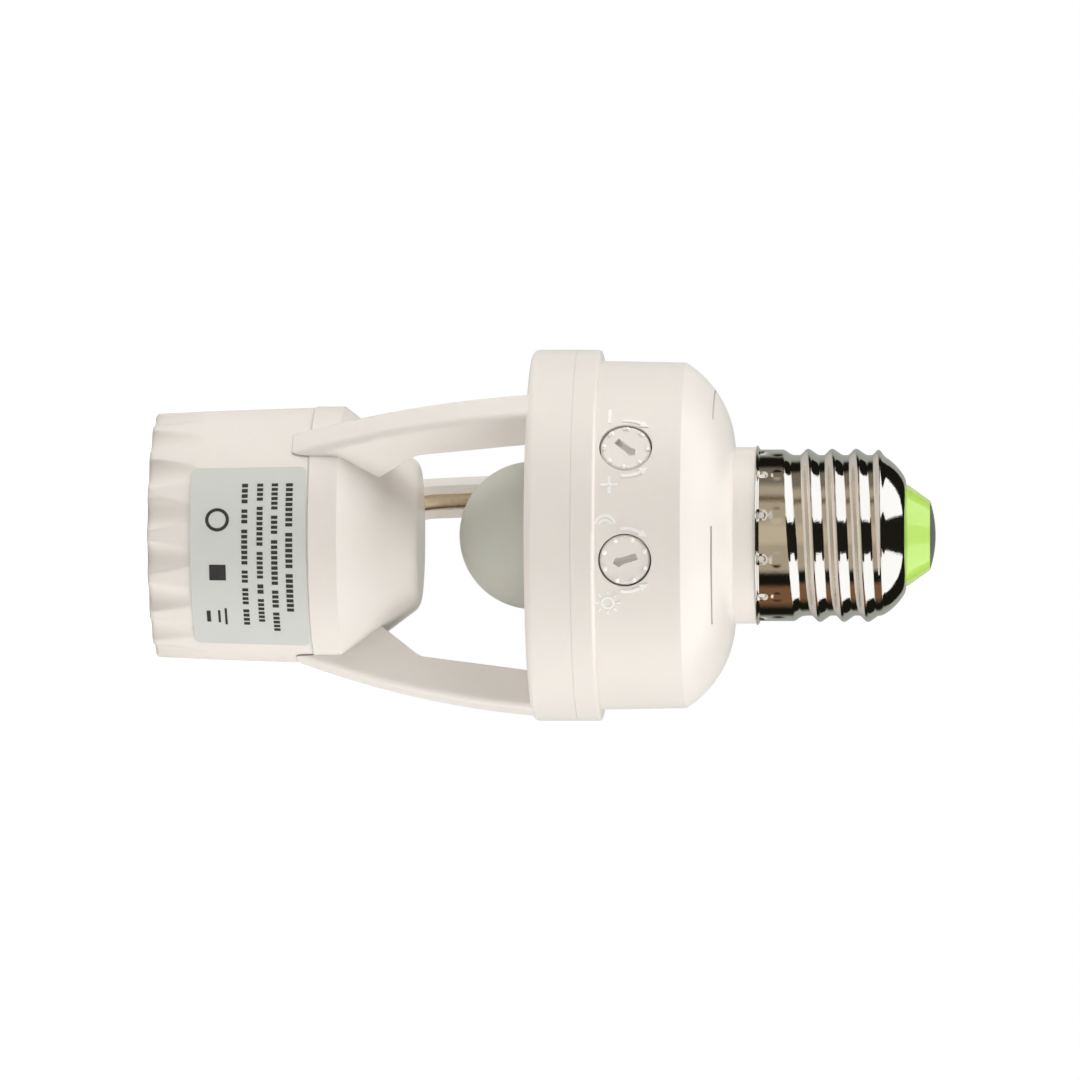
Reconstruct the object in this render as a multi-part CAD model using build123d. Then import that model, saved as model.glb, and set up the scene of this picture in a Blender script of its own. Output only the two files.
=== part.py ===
from build123d import *
import os
from math import asin, atan, cos, hypot, radians, sin, sqrt, tan

os.makedirs("parts", exist_ok=True)

# A motion sensor lamp holder: a screw cap on top, a round housing with the
# sensor and two trimmer dials, an open cage of three arms round the domed
# lens, and a lamp socket at the bottom. Millimetres. The axis is Z, the
# holder stands on the mouth of its socket, and the origin is in that mouth.
# The side with the dials faces -Y.

# Directions round the axis, in degrees from +X
ARM_ANGLES = (-135.0, -15.0, 105.0)
LIVE_ARM = 2
NEUTRAL_ARM = 0
BAY_TURN = 60.0
TIME_ANGLE = -120.0
LUX_ANGLE = -81.8
LABEL_ANGLE = -76.8
VENT_ANGLE = -73.1

# Small gaps
SLIP = 0.1
SHAFT_SLIP = 0.05

# Lamp socket: the metal screw shell, its insulating base and the contact
LAMP_THREAD_RADIUS = 13.3
SCREW_SHEET = 0.4
SCREW_SETBACK = 3.5
SCREW_STEP = 0.7
SCREW_FLANGE = 3.8
BASE_WALL = 1.5
BASE_FLOOR = 1.5
RIVET_RADIUS = 1.0
RIVET_HEAD_RADIUS = 1.8
RIVET_HEAD = 0.6
CONTACT_INSET = 0.9
CONTACT_WIDTH = 5.0
CONTACT_LIFT = 3.0
CONTACT_TIP = 1.8
CONTACT_TIP_LIFT = 1.0
CONTACT_CLEARANCE = 0.5

# Lamp socket: the fluted cup
CUP_LENGTH = 24.2
CUP_STEP = 0.15
CUP_TAPER = 0.8
CUP_WALL = 2.2
CUP_FLOOR = 2.2
CUP_LIP_ROUND = 0.5
SPIGOT_WALL = 2.25
SPIGOT_LENGTH = 2.0
FLUTE_COUNT = 18
FLUTE_DEPTH = 1.25
FLUTE_LENGTH = 8.0
FLUTE_ROUND = 3.4

# Rating label on the cup
LABEL_SPAN = 90.0
LABEL_START = 6.5
LABEL_END = 23.85
LABEL_SHEET = 0.2
LABEL_CORNER = 1.0

# Cage moulding: hub, arms and bezel in one piece
HUB_WALL = 1.9
HUB_BAND = 4.3
HUB_CONE = 11.45
HUB_NOSE_RADIUS = 10.8
HUB_NOSE_ROUND = 2.4
HUB_RIB = 4.0
CAGE_GAP = 17.05
ARM_WIDTH = 5.2
ARM_WAIST = 5.35
ARM_HEAD = 6.2
ARM_HEAD_ROUND = 3.0
ARM_EDGE_ROUND = 1.1
ARM_BOW = 1.27
ARM_OUTSET = 0.3
ARM_FOOT = 2.7
ARM_FOOT_EDGE = 0.15
ARM_WEB = 6.05
CHANNEL_WIDTH = 2.5
CHANNEL_BACK = 1.25
CHANNEL_END = 1.5
CHANNEL_SILL = 4.5
BEZEL_STEP = 1.7
BEZEL_DEPTH = 6.9
BEZEL_EDGE_ROUND = 1.2
BEZEL_WALL = 1.8
BEZEL_PLATE = 1.8
BOSS_RADIUS = 2.6
BOSS_INSET = 4.4
BOSS_ANGLES = (45.0, 165.0, -45.0)

# Domed lens over the sensor
LENS_RADIUS = 11.2
LENS_WALL = 0.8
LENS_FLANGE = 1.0
LENS_FLANGE_HEIGHT = 1.0

# Rear housing
FLANGE_DEPTH = 3.6
FLANGE_EDGE_ROUND = 0.5
DRUM_REAR_RADIUS = 26.15
DRUM_TAPER = 0.25
DRUM_DEPTH = 12.7
DRUM_WALL = 1.9
SHOULDER_HEIGHT = 7.4
SHOULDER_BOW = 1.84
NECK_STEP = 0.2
NECK_LENGTH = 3.3
NECK_WALL = 1.85
NECK_SPIGOT = 2.6
VENT_COUNT = 4
VENT_SPAN = 41.0
VENT_WIDTH = 0.35
VENT_INSET = 4.35

# Trimmer dials and their potentiometers
DIAL_RISE = 4.5
DIAL_HOLE_RADIUS = 3.95
DIAL_CLEARANCE = 0.2
DIAL_SUNK = 0.15
DIAL_THICKNESS = 1.9
DIAL_EDGE = 0.3
SLOT_LENGTH = 3.75
SLOT_WIDTH = 1.05
SLOT_HEAD_WIDTH = 1.5
SLOT_HEAD_LENGTH = 0.7
SLOT_BARB = 0.8
SLOT_DEPTH = 0.9
DOT_COUNT = 8
DOT_REACH = 3.27
DOT_RADIUS = 0.27
DOT_RISE = 0.15
STEM_RADIUS = 1.6
STEM_BEARING = 2.8
POT_WIDTH = 6.6
POT_DEPTH = 4.6
POT_SETBACK = 5.0
POT_CROWN = 3.7
TIME_POINTER = -41.0
LUX_POINTER = 197.0

# Screw cap
CAP_RADIUS = 13.15
CAP_SHEET = 0.4
CAP_LENGTH = 22.5
CAP_LIP = 0.25
CAP_LIP_HEIGHT = 0.5
CAP_NOSE_RIM = 0.6
CAP_NOSE_HEIGHT = 4.2
CAP_NOSE_BOW = 0.9
CRIMP_COUNT = 12
CRIMP_ROUND = 1.3
CRIMP_DEPTH = 0.25
CRIMP_HEIGHT = 1.5
INSULATOR_RADIUS = 7.7
INSULATOR_HEIGHT = 3.7
INSULATOR_ROUND = 0.8
INSULATOR_BRIM = 1.2
INSULATOR_ROOT = 3.0
CONTACT_RADIUS = 5.1
CONTACT_DOME = 0.8
CONTACT_STEM_RADIUS = 1.5

# Circuit board and its screws
BOARD_CLEARANCE = 0.35
BOARD_THICKNESS = 1.6
BOARD_STANDOFF = 4.2
SCREW_RADIUS = 1.1
SCREW_HEAD_RADIUS = 2.1
SCREW_HEAD = 1.5
SCREW_REACH = 3.4

# Components, each with its distance from the board's edge or middle
SENSOR_RADIUS = 4.6
SENSOR_HEIGHT = 4.4
SENSOR_BRIM = 0.4
SENSOR_WINDOW = (4.2, 3.4)
PHOTOCELL_RADIUS = 2.5
PHOTOCELL_HEIGHT = 2.0
ROW_GAP = 1.5
RELAY_SIZE = (18.4, 10.2, 15.3)
RELAY_SHIFT = -2.0
RELAY_ROUND = 0.6
FILM_CAPACITOR_SIZE = (16.0, 7.0, 12.5)
FILM_CAPACITOR_ROUND = 0.8
RECTIFIER_SIZE = (8.2, 6.4, 3.2)
RECTIFIER_INSET = 0.8
RECTIFIER_ROUND = 0.4
CHIP_SIZE = (10.0, 4.0, 1.7)
CHIP_GAP = 4.0
SMOOTHING_RADIUS = 4.0
SMOOTHING_HEIGHT = 12.0
SMOOTHING_INSET = 2.5
SMOOTHING_ANGLE = 193.0
TIMING_RADIUS = 2.5
TIMING_HEIGHT = 7.5
TIMING_INSET = 3.6
TIMING_ANGLE = -20.0
RESISTOR_RADIUS = 1.6
RESISTOR_LENGTH = 7.0
RESISTOR_LEG = 1.0
RESISTOR_LIFT = 0.4
RESISTOR_GAP = 3.6
RESISTOR_SHIFT = 4.3
WIRE_RADIUS = 0.35

# Leads
LEAD_RADIUS = 0.8
SLEEVE_RADIUS = 1.05
LIVE_CAP_SHIFT = -3.0
LEAD_SLACK = 1.15
NEUTRAL_CAP_SHIFT = 5.0

# Radii that follow from one another, from the lamp's thread out to the cup
SCREW_OUTER_RADIUS = LAMP_THREAD_RADIUS + SCREW_SHEET
SCREW_REAR_RADIUS = LAMP_THREAD_RADIUS - SCREW_STEP
SHELL_RIVET_REACH = SCREW_REAR_RADIUS - RIVET_HEAD_RADIUS - SLIP
FLANGE_BORE_RADIUS = SCREW_REAR_RADIUS - SCREW_FLANGE
CONTACT_RIVET_REACH = FLANGE_BORE_RADIUS - RIVET_HEAD_RADIUS - SLIP - CONTACT_INSET
BASE_RADIUS = SCREW_OUTER_RADIUS + BASE_WALL
SPIGOT_RADIUS = BASE_RADIUS + SLIP + SPIGOT_WALL
HUB_RADIUS = SPIGOT_RADIUS + SLIP + HUB_WALL
CUP_SEAM_RADIUS = HUB_RADIUS - CUP_STEP
CUP_MOUTH_RADIUS = CUP_SEAM_RADIUS - CUP_TAPER
CUP_BORE_RADIUS = CUP_MOUTH_RADIUS - CUP_WALL

# Radii of the housing, from the drum to the bezel, the board and the neck
DRUM_FRONT_RADIUS = DRUM_REAR_RADIUS + DRUM_TAPER
DRUM_BORE_RADIUS = DRUM_REAR_RADIUS - DRUM_WALL
BEZEL_RADIUS = DRUM_FRONT_RADIUS + BEZEL_STEP
BOARD_RADIUS = DRUM_BORE_RADIUS - BOARD_CLEARANCE
BOSS_REACH = BOARD_RADIUS - BOSS_INSET
LEAD_REACH = BOARD_RADIUS - SLEEVE_RADIUS - 2 * SLIP
POT_FACE = DRUM_REAR_RADIUS - POT_SETBACK
CAP_INNER_RADIUS = CAP_RADIUS - CAP_SHEET
CAP_NOSE_RADIUS = INSULATOR_RADIUS + SLIP + CAP_NOSE_RIM
NECK_RADIUS = CAP_RADIUS + NECK_STEP
NECK_BORE_RADIUS = CAP_INNER_RADIUS - NECK_WALL

# Heights along the axis that follow from the lengths above
Z_SEAM = CUP_LENGTH
Z_CONE = Z_SEAM + HUB_BAND
Z_HUB_END = Z_CONE + HUB_CONE
Z_BEZEL = Z_HUB_END + CAGE_GAP
Z_PLATE = Z_BEZEL + BEZEL_PLATE
Z_JOINT = Z_BEZEL + BEZEL_DEPTH
Z_DRUM = Z_JOINT + FLANGE_DEPTH
Z_DIAL = Z_DRUM + DIAL_RISE
Z_SHOULDER = Z_DRUM + DRUM_DEPTH
Z_NECK = Z_SHOULDER + SHOULDER_HEIGHT
Z_CAP = Z_NECK + NECK_LENGTH
Z_CAP_END = Z_CAP + CAP_LENGTH
Z_CONTACT = Z_CAP_END + INSULATOR_HEIGHT
Z_BOARD = Z_PLATE + BOARD_STANDOFF
Z_BOARD_REAR = Z_BOARD + BOARD_THICKNESS
Z_SCREW_END = Z_CONE
Z_SCREW_STEP = Z_SCREW_END - CONTACT_LIFT - SCREW_SHEET - CONTACT_CLEARANCE
Z_BASE_REAR = Z_SCREW_END + BASE_FLOOR
CONE_SLOPE = (HUB_RADIUS - HUB_NOSE_RADIUS) / HUB_CONE


def cup_radius(z):
    """Outer radius of the socket cup at a height."""
    return CUP_MOUTH_RADIUS + (CUP_SEAM_RADIUS - CUP_MOUTH_RADIUS) * z / CUP_LENGTH


def cone_radius(z):
    """Outer radius of the hub's cone at a height."""
    return HUB_RADIUS - CONE_SLOPE * (z - Z_CONE)


def side(points):
    """Points of a radius and a height, set in the XZ plane."""
    return [(r, 0, z) for r, z in points]


def lathe(points, radii=None):
    """Solid of revolution of a closed outline, with its corners rounded."""
    if radii:
        outline = FilletPolyline(*side(points), radius=radii, close=True)
    else:
        outline = Polyline(*side(points), close=True)
    return revolve(make_face(outline), Axis.Z)


def bowed(start, end, rise):
    """Arc between two side points that bulges to the right of its way by rise."""
    run = (end[0] - start[0], end[1] - start[1])
    length = hypot(*run)
    middle = ((start[0] + end[0]) / 2 + rise * run[1] / length,
              (start[1] + end[1]) / 2 - rise * run[0] / length)
    return ThreePointArc(*side([start, middle, end]))


def turned(shape, angle):
    """The shape turned about the axis of the holder."""
    return Rot(0, 0, angle) * shape


def round_the_axis(shape, count, first=0.0):
    """Equal copies of a shape round the axis."""
    return [turned(shape, first + 360.0 * i / count) for i in range(count)]


def facing_out(angle, radius, z):
    """Plane square to a radius, with its x along +Z and its z outwards."""
    out = (cos(radians(angle)), sin(radians(angle)), 0)
    return Plane(origin=(radius * out[0], radius * out[1], z), x_dir=(0, 0, 1), z_dir=out)


def upright(radius, low, high, x=0.0, y=0.0):
    """Cylinder along Z between two heights."""
    lying = (Align.CENTER, Align.CENTER, Align.MIN)
    return Pos(x, y, low) * Cylinder(radius, high - low, align=lying)


def block(size, x, y, low):
    """Box that stands on a height."""
    return Pos(x, y, low) * Box(*size, align=(Align.CENTER, Align.CENTER, Align.MIN))


def polar(reach, angle):
    """X and Y of a point at a reach and an angle."""
    return reach * cos(radians(angle)), reach * sin(radians(angle))


def socket_cup():
    """Fluted skirt with an inner floor that the metal shell passes through."""
    hole, seat = SCREW_OUTER_RADIUS + SLIP, BASE_RADIUS + SLIP
    skirt = lathe(
        [(CUP_BORE_RADIUS, 0), (CUP_MOUTH_RADIUS, 0), (CUP_SEAM_RADIUS, Z_SEAM),
         (SPIGOT_RADIUS, Z_SEAM), (SPIGOT_RADIUS, Z_SEAM + SPIGOT_LENGTH),
         (seat, Z_SEAM + SPIGOT_LENGTH), (seat, Z_SEAM), (hole, Z_SEAM),
         (hole, Z_SEAM - CUP_FLOOR), (CUP_BORE_RADIUS, Z_SEAM - CUP_FLOOR)],
        [CUP_LIP_ROUND, CUP_LIP_ROUND, 0, 0, 0, 0, 0, 0, 0, 0])
    start = CUP_MOUTH_RADIUS - FLUTE_DEPTH + FLUTE_ROUND
    end = cup_radius(FLUTE_LENGTH) + FLUTE_ROUND
    lean = atan((end - start) / FLUTE_LENGTH)
    axis = Plane(origin=(start, 0, 0), z_dir=(sin(lean), 0, cos(lean)))
    flute = axis * Cylinder(FLUTE_ROUND, 3 * FLUTE_LENGTH)
    return skirt - round_the_axis(flute, FLUTE_COUNT)


def rating_label():
    """Thin wrapped label with rounded corners, stuck on the cup."""
    low, high = cup_radius(LABEL_START), cup_radius(LABEL_END)
    strip = Polyline(*side([(low, LABEL_START), (low + LABEL_SHEET, LABEL_START),
                            (high + LABEL_SHEET, LABEL_END), (high, LABEL_END)]), close=True)
    sheet = revolve(make_face(strip), Axis.Z, revolution_arc=LABEL_SPAN)
    corners = [e for e in sheet.edges() if abs(e.length - LABEL_SHEET) < LABEL_SHEET / 10]
    return turned(fillet(corners, LABEL_CORNER), LABEL_ANGLE - LABEL_SPAN / 2)


def lamp_screw_shell():
    """Metal shell for the lamp's thread, stepped in behind it, with an inward flange."""
    rear = SCREW_REAR_RADIUS + SCREW_SHEET
    shell = lathe([(LAMP_THREAD_RADIUS, SCREW_SETBACK), (SCREW_OUTER_RADIUS, SCREW_SETBACK),
                   (SCREW_OUTER_RADIUS, Z_SCREW_STEP), (rear, Z_SCREW_STEP + SCREW_STEP),
                   (rear, Z_SCREW_END), (FLANGE_BORE_RADIUS, Z_SCREW_END),
                   (FLANGE_BORE_RADIUS, Z_SCREW_END - SCREW_SHEET),
                   (SCREW_REAR_RADIUS, Z_SCREW_END - SCREW_SHEET),
                   (SCREW_REAR_RADIUS, Z_SCREW_STEP + SCREW_STEP),
                   (LAMP_THREAD_RADIUS, Z_SCREW_STEP)])
    return shell - rivet_holes(shell_rivet_places())


def rivet_holes(places):
    """Holes for rivets through the socket's sheets and its base."""
    return [upright(RIVET_RADIUS + SHAFT_SLIP, Z_SCREW_END - 2 * SCREW_SHEET,
                    Z_BASE_REAR + SCREW_SHEET, *place) for place in places]


def shell_rivet_places():
    """The two rivets that hold the screw shell, one in line with the neutral arm."""
    return [polar(SHELL_RIVET_REACH, ARM_ANGLES[NEUTRAL_ARM] + turn) for turn in (0, 180)]


def rivet_places():
    """All rivets of the socket: two in the shell's flange, one in the contact."""
    return shell_rivet_places() + [polar(CONTACT_RIVET_REACH, ARM_ANGLES[LIVE_ARM])]


def socket_base():
    """Insulating cup behind the screw shell, with a bore that follows its step."""
    bore = SCREW_OUTER_RADIUS + SHAFT_SLIP
    rear_bore = bore - SCREW_STEP
    base = lathe([(0, Z_SCREW_END), (rear_bore, Z_SCREW_END),
                  (rear_bore, Z_SCREW_STEP + SCREW_STEP), (bore, Z_SCREW_STEP), (bore, Z_SEAM),
                  (BASE_RADIUS, Z_SEAM), (BASE_RADIUS, Z_BASE_REAR), (0, Z_BASE_REAR)])
    return base - rivet_holes(rivet_places())


def lamp_contact():
    """Bent strip that presses on the lamp's centre, riveted at its outer end."""
    outer = CONTACT_RIVET_REACH + RIVET_HEAD_RADIUS + SLIP
    bend = CONTACT_RIVET_REACH - RIVET_HEAD_RADIUS - 2 * SLIP
    crown = -CONTACT_RIVET_REACH / 2
    rear = [(outer, Z_SCREW_END), (bend, Z_SCREW_END), (crown, Z_SCREW_END - CONTACT_LIFT),
            (crown - CONTACT_TIP, Z_SCREW_END - CONTACT_LIFT + CONTACT_TIP_LIFT)]
    front = [(r, z - SCREW_SHEET) for r, z in rear]
    face = make_face(Polyline(*side(rear + front[::-1]), close=True))
    strip = extrude(face, CONTACT_WIDTH / 2, both=True)
    hole = rivet_holes([(CONTACT_RIVET_REACH, 0)])
    return turned(strip - hole, ARM_ANGLES[LIVE_ARM])


def socket_rivets():
    """Three equal rivets through the base, each with a head on both sides."""
    front = Z_SCREW_END - SCREW_SHEET
    return [upright(RIVET_RADIUS, front, Z_BASE_REAR, *place)
            + upright(RIVET_HEAD_RADIUS, front - RIVET_HEAD, front, *place)
            + upright(RIVET_HEAD_RADIUS, Z_BASE_REAR, Z_BASE_REAR + RIVET_HEAD, *place)
            for place in rivet_places()]


def arm_back(inset=0.0):
    """Ends of the bowed outer line of an arm, from its foot on the cup into the bezel's plate."""
    foot = Z_SEAM - ARM_FOOT
    start = (cup_radius(foot) + ARM_FOOT_EDGE - inset, foot)
    end = (BEZEL_RADIUS - ARM_OUTSET - inset, Z_BEZEL + BEZEL_PLATE / 2)
    return start, end


def arm_line(z):
    """Distance of an arm's outer line from the axis at a height."""
    start, end = arm_back()
    share = (z - start[1]) / (end[1] - start[1])
    return start[0] + (end[0] - start[0]) * share + 4 * ARM_BOW * share * (1 - share)


def arm():
    """One arm along +X, full depth, with its web running down into the hub."""
    start, end = arm_back()
    wall = HUB_WALL / 2
    waist = (start[0] + end[0]) / 2 + ARM_BOW - ARM_WAIST
    web_foot = Z_HUB_END - ARM_WEB
    cup_side = CUP_SEAM_RADIUS + SHAFT_SLIP
    back = bowed(start, end, ARM_BOW)
    inner = FilletPolyline(
        *side([end, (BEZEL_RADIUS - ARM_HEAD, end[1]), (waist, Z_HUB_END + ARM_OUTSET),
               (cone_radius(web_foot) - wall, web_foot), (HUB_RADIUS - wall, Z_CONE - wall),
               (HUB_RADIUS - wall, Z_SEAM)]),
        radius=[0.0, ARM_HEAD_ROUND, 0.0, 0.0])
    foot = Polyline(*side([(HUB_RADIUS - wall, Z_SEAM), (cup_side, Z_SEAM),
                           (cup_radius(start[1]) + SHAFT_SLIP, start[1]), start]))
    solid = extrude(make_face(back + inner + foot), ARM_WIDTH / 2, both=True)
    edges = [e for e in solid.edges() if e.geom_type == GeomType.CIRCLE and e.length > CAGE_GAP]
    return fillet(edges, ARM_EDGE_ROUND)


def arm_channel():
    """The leads' channel in an arm, open towards the axis, with a passage into the hub."""
    start, end = arm_back(CHANNEL_BACK)
    low, top = Z_BASE_REAR - HUB_WALL / 4, Z_BEZEL - CHANNEL_END
    sill, mouth = low + CHANNEL_SILL, Z_HUB_END - ARM_WEB
    axis_side, outside = cone_radius(mouth), BEZEL_RADIUS + CHANNEL_BACK
    passage = (cone_radius(low) - 2 * HUB_WALL, low)
    ceiling = (axis_side - 2.5 * HUB_WALL, mouth - HUB_WALL / 2)
    back = bowed(start, end, ARM_BOW)
    rest = Polyline(*side([end, (ceiling[0], end[1]), (ceiling[0], start[1]), start]))
    window = Polyline(*side([passage, (HUB_RADIUS + 1.5 * HUB_WALL, sill), (outside, sill),
                             (outside, top), (axis_side, top), (axis_side, mouth), ceiling]),
                      close=True)
    slot = Polyline(*side([passage, (HUB_RADIUS - HUB_WALL, sill - HUB_WALL),
                           (HUB_RADIUS - HUB_WALL, Z_HUB_END), (axis_side, Z_HUB_END),
                           (axis_side, mouth), ceiling]), close=True)
    deep, opening, throat = (extrude(make_face(outline), CHANNEL_WIDTH / 2, both=True)
                             for outline in (back + rest, window, slot))
    return (deep & opening) + throat


def front_cover():
    """Hub, three channelled arms and the bezel with its plate, in one moulding."""
    hub = lathe(
        [(0, Z_HUB_END - HUB_WALL), (HUB_NOSE_RADIUS - HUB_WALL, Z_HUB_END - HUB_WALL),
         (HUB_RADIUS - HUB_WALL, Z_CONE - HUB_WALL / 3), (HUB_RADIUS - HUB_WALL, Z_SEAM),
         (HUB_RADIUS, Z_SEAM), (HUB_RADIUS, Z_CONE), (HUB_NOSE_RADIUS, Z_HUB_END),
         (0, Z_HUB_END)],
        [0, HUB_WALL / 2, 0, 0, 0, 0, HUB_NOSE_ROUND, 0])
    bore = LENS_RADIUS + SLIP
    bezel = lathe(
        [(bore, Z_BEZEL), (BEZEL_RADIUS, Z_BEZEL), (BEZEL_RADIUS, Z_JOINT),
         (BEZEL_RADIUS - BEZEL_WALL, Z_JOINT), (BEZEL_RADIUS - BEZEL_WALL, Z_PLATE),
         (bore, Z_PLATE)],
        [0, BEZEL_EDGE_ROUND, 0, 0, 0, 0])
    cover = hub + bezel
    for angle in ARM_ANGLES:
        cover += turned(arm(), angle)
    lead_hole = upright(SLEEVE_RADIUS + SLIP, Z_BEZEL - BEZEL_PLATE, Z_PLATE + SLIP, LEAD_REACH)
    for angle in ARM_ANGLES:
        cover -= turned(arm_channel(), angle)
        cover -= turned(lead_hole, angle)
        cover += turned(hub_rib(), angle + BAY_TURN)
    for angle in BOSS_ANGLES:
        place = polar(BOSS_REACH, angle)
        cover += upright(BOSS_RADIUS, Z_BEZEL + BEZEL_PLATE / 2, Z_BOARD, *place)
        cover -= upright(SCREW_RADIUS + SHAFT_SLIP, Z_BOARD - SCREW_REACH, Z_BOARD + SLIP, *place)
    return cover


def hub_rib():
    """Rib inside the hub that holds the socket's base down."""
    inner = SHELL_RIVET_REACH + RIVET_HEAD_RADIUS + SLIP
    top = Z_BASE_REAR + HUB_RIB
    sunk = HUB_WALL / 2
    outline = Polyline(*side([(inner, Z_BASE_REAR), (cone_radius(Z_BASE_REAR) - sunk, Z_BASE_REAR),
                              (cone_radius(top) - sunk, top), (inner, top)]), close=True)
    return extrude(make_face(outline), HUB_WALL / 2, both=True)


def quarter(radius, z):
    """Quarter arc of a half sphere, from its tip up to its equator at a height."""
    diagonal = radius * sqrt(0.5)
    return ThreePointArc(*side([(0, z - radius), (diagonal, z - diagonal), (radius, z)]))


def lens_dome():
    """Half sphere on a short neck, with a flange behind the bezel's plate."""
    inner, brim = LENS_RADIUS - LENS_WALL, LENS_RADIUS + LENS_FLANGE
    end = Z_PLATE + LENS_FLANGE_HEIGHT
    neck = Polyline(*side([(LENS_RADIUS, Z_BEZEL), (LENS_RADIUS, Z_PLATE), (brim, Z_PLATE),
                           (brim, end), (inner, end), (inner, Z_BEZEL)]))
    close = Line(*side([(0, Z_BEZEL - inner), (0, Z_BEZEL - LENS_RADIUS)]))
    outline = quarter(LENS_RADIUS, Z_BEZEL) + neck + quarter(inner, Z_BEZEL) + close
    return revolve(make_face(outline), Axis.Z)


def rear_housing():
    """Drum with its shoulder, neck and two spigots, the vents and the dial holes."""
    outer = side([(0, Z_JOINT), (BEZEL_RADIUS, Z_JOINT), (BEZEL_RADIUS, Z_DRUM),
                  (DRUM_FRONT_RADIUS, Z_DRUM), (DRUM_REAR_RADIUS, Z_SHOULDER)])
    drum = FilletPolyline(*outer, radius=[0.0, FLANGE_EDGE_ROUND, 0.0])
    shoulder = bowed((DRUM_REAR_RADIUS, Z_SHOULDER), (NECK_RADIUS, Z_NECK), SHOULDER_BOW)
    top = Polyline(*side([(NECK_RADIUS, Z_NECK), (NECK_RADIUS, Z_CAP), (0, Z_CAP), (0, Z_JOINT)]))
    housing = revolve(make_face(drum + shoulder + top), Axis.Z)
    lip_radius = BEZEL_RADIUS - BEZEL_WALL - SLIP
    lip_low, lip_high = Z_JOINT - SPIGOT_LENGTH, Z_JOINT + SPIGOT_LENGTH / 2
    housing += lathe([(DRUM_BORE_RADIUS, lip_low), (lip_radius, lip_low),
                      (lip_radius, lip_high), (DRUM_BORE_RADIUS, lip_high)])
    housing += upright(CAP_INNER_RADIUS - SHAFT_SLIP, Z_CAP, Z_CAP + NECK_SPIGOT)
    throat = (NECK_BORE_RADIUS, Z_NECK - DRUM_WALL)
    rim = (DRUM_BORE_RADIUS, Z_SHOULDER)
    inside = Polyline(*side([throat, (NECK_BORE_RADIUS, Z_CAP_END), (0, Z_CAP_END),
                             (0, Z_BEZEL), (DRUM_BORE_RADIUS, Z_BEZEL), rim]))
    housing -= revolve(make_face(inside + bowed(rim, throat, SHOULDER_BOW)), Axis.Z)
    housing -= round_the_axis(vent(), VENT_COUNT, VENT_ANGLE)
    hole = Cylinder(DIAL_HOLE_RADIUS, 4 * DRUM_WALL)
    housing -= [facing_out(angle, DRUM_REAR_RADIUS, Z_DIAL) * hole
                for angle in (TIME_ANGLE, LUX_ANGLE)]
    return housing


def vent():
    """Narrow curved slot cut square through the shoulder."""
    fall = (NECK_RADIUS - DRUM_REAR_RADIUS) / SHOULDER_HEIGHT
    lean = hypot(1, fall)
    out = (1 / lean, -fall / lean)
    share = VENT_INSET / (DRUM_REAR_RADIUS - NECK_RADIUS)
    middle = (DRUM_REAR_RADIUS - VENT_INSET,
              Z_SHOULDER + share * SHOULDER_HEIGHT + SHOULDER_BOW)
    reach, half = 2 * DRUM_WALL, VENT_WIDTH / 2
    corners = [(middle[0] + a * out[0] - b * out[1], middle[1] + a * out[1] + b * out[0])
               for a, b in ((-reach, -half), (reach, -half), (reach, half), (-reach, half))]
    outline = Polyline(*side(corners), close=True)
    slot = revolve(make_face(outline), Axis.Z, revolution_arc=VENT_SPAN)
    return turned(slot, -VENT_SPAN / 2)


def pointer_slot():
    """Driver slot with an arrow head at one end, as a tool to cut with."""
    tip, half, barb = SLOT_LENGTH / 2, SLOT_WIDTH / 2, SLOT_HEAD_WIDTH / 2
    head = tip - SLOT_HEAD_LENGTH
    one_side = [(-tip, half), (head - SLOT_BARB, half), (head, barb)]
    arrow = Polyline(*one_side, (tip, 0), *[(x, -y) for x, y in one_side[::-1]], close=True)
    return Pos(0, 0, -SLOT_DEPTH) * extrude(make_face(arrow), 2 * SLOT_DEPTH)


def dial(angle, pointer):
    """Trimmer dial with a ring of dots, a pointed driver slot and its stem."""
    lying = (Align.CENTER, Align.CENTER, Align.MAX)
    disc = Cylinder(DIAL_HOLE_RADIUS - DIAL_CLEARANCE, DIAL_THICKNESS, align=lying)
    disc = chamfer(disc.faces().sort_by(Axis.Z)[-1].edges(), DIAL_EDGE)
    dots = PolarLocations(DOT_REACH, DOT_COUNT) * Cylinder(DOT_RADIUS, 2 * DOT_RISE)
    stem_end = DRUM_REAR_RADIUS - DIAL_SUNK - POT_FACE + STEM_BEARING
    stem = Cylinder(STEM_RADIUS, stem_end, align=lying)
    face = facing_out(angle, DRUM_REAR_RADIUS - DIAL_SUNK, Z_DIAL)
    return face * Rot(0, 0, pointer) * ((disc + stem + dots) - pointer_slot())


def potentiometer(angle):
    """Upright trimmer body on the board with a bearing for the dial's stem."""
    face = facing_out(angle, POT_FACE, Z_DIAL)
    low, high = Z_BOARD_REAR - Z_DIAL, POT_CROWN
    body = Pos((low + high) / 2, 0, 0) * Box(high - low, POT_WIDTH, POT_DEPTH,
                                              align=(Align.CENTER, Align.CENTER, Align.MAX))
    body = fillet(body.edges().filter_by(Axis.Z).sort_by(Axis.X)[-2:], POT_WIDTH / 4)
    bore = Cylinder(STEM_RADIUS + SHAFT_SLIP, 2 * (STEM_BEARING + 3 * SLIP))
    return face * (body - bore)


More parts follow.
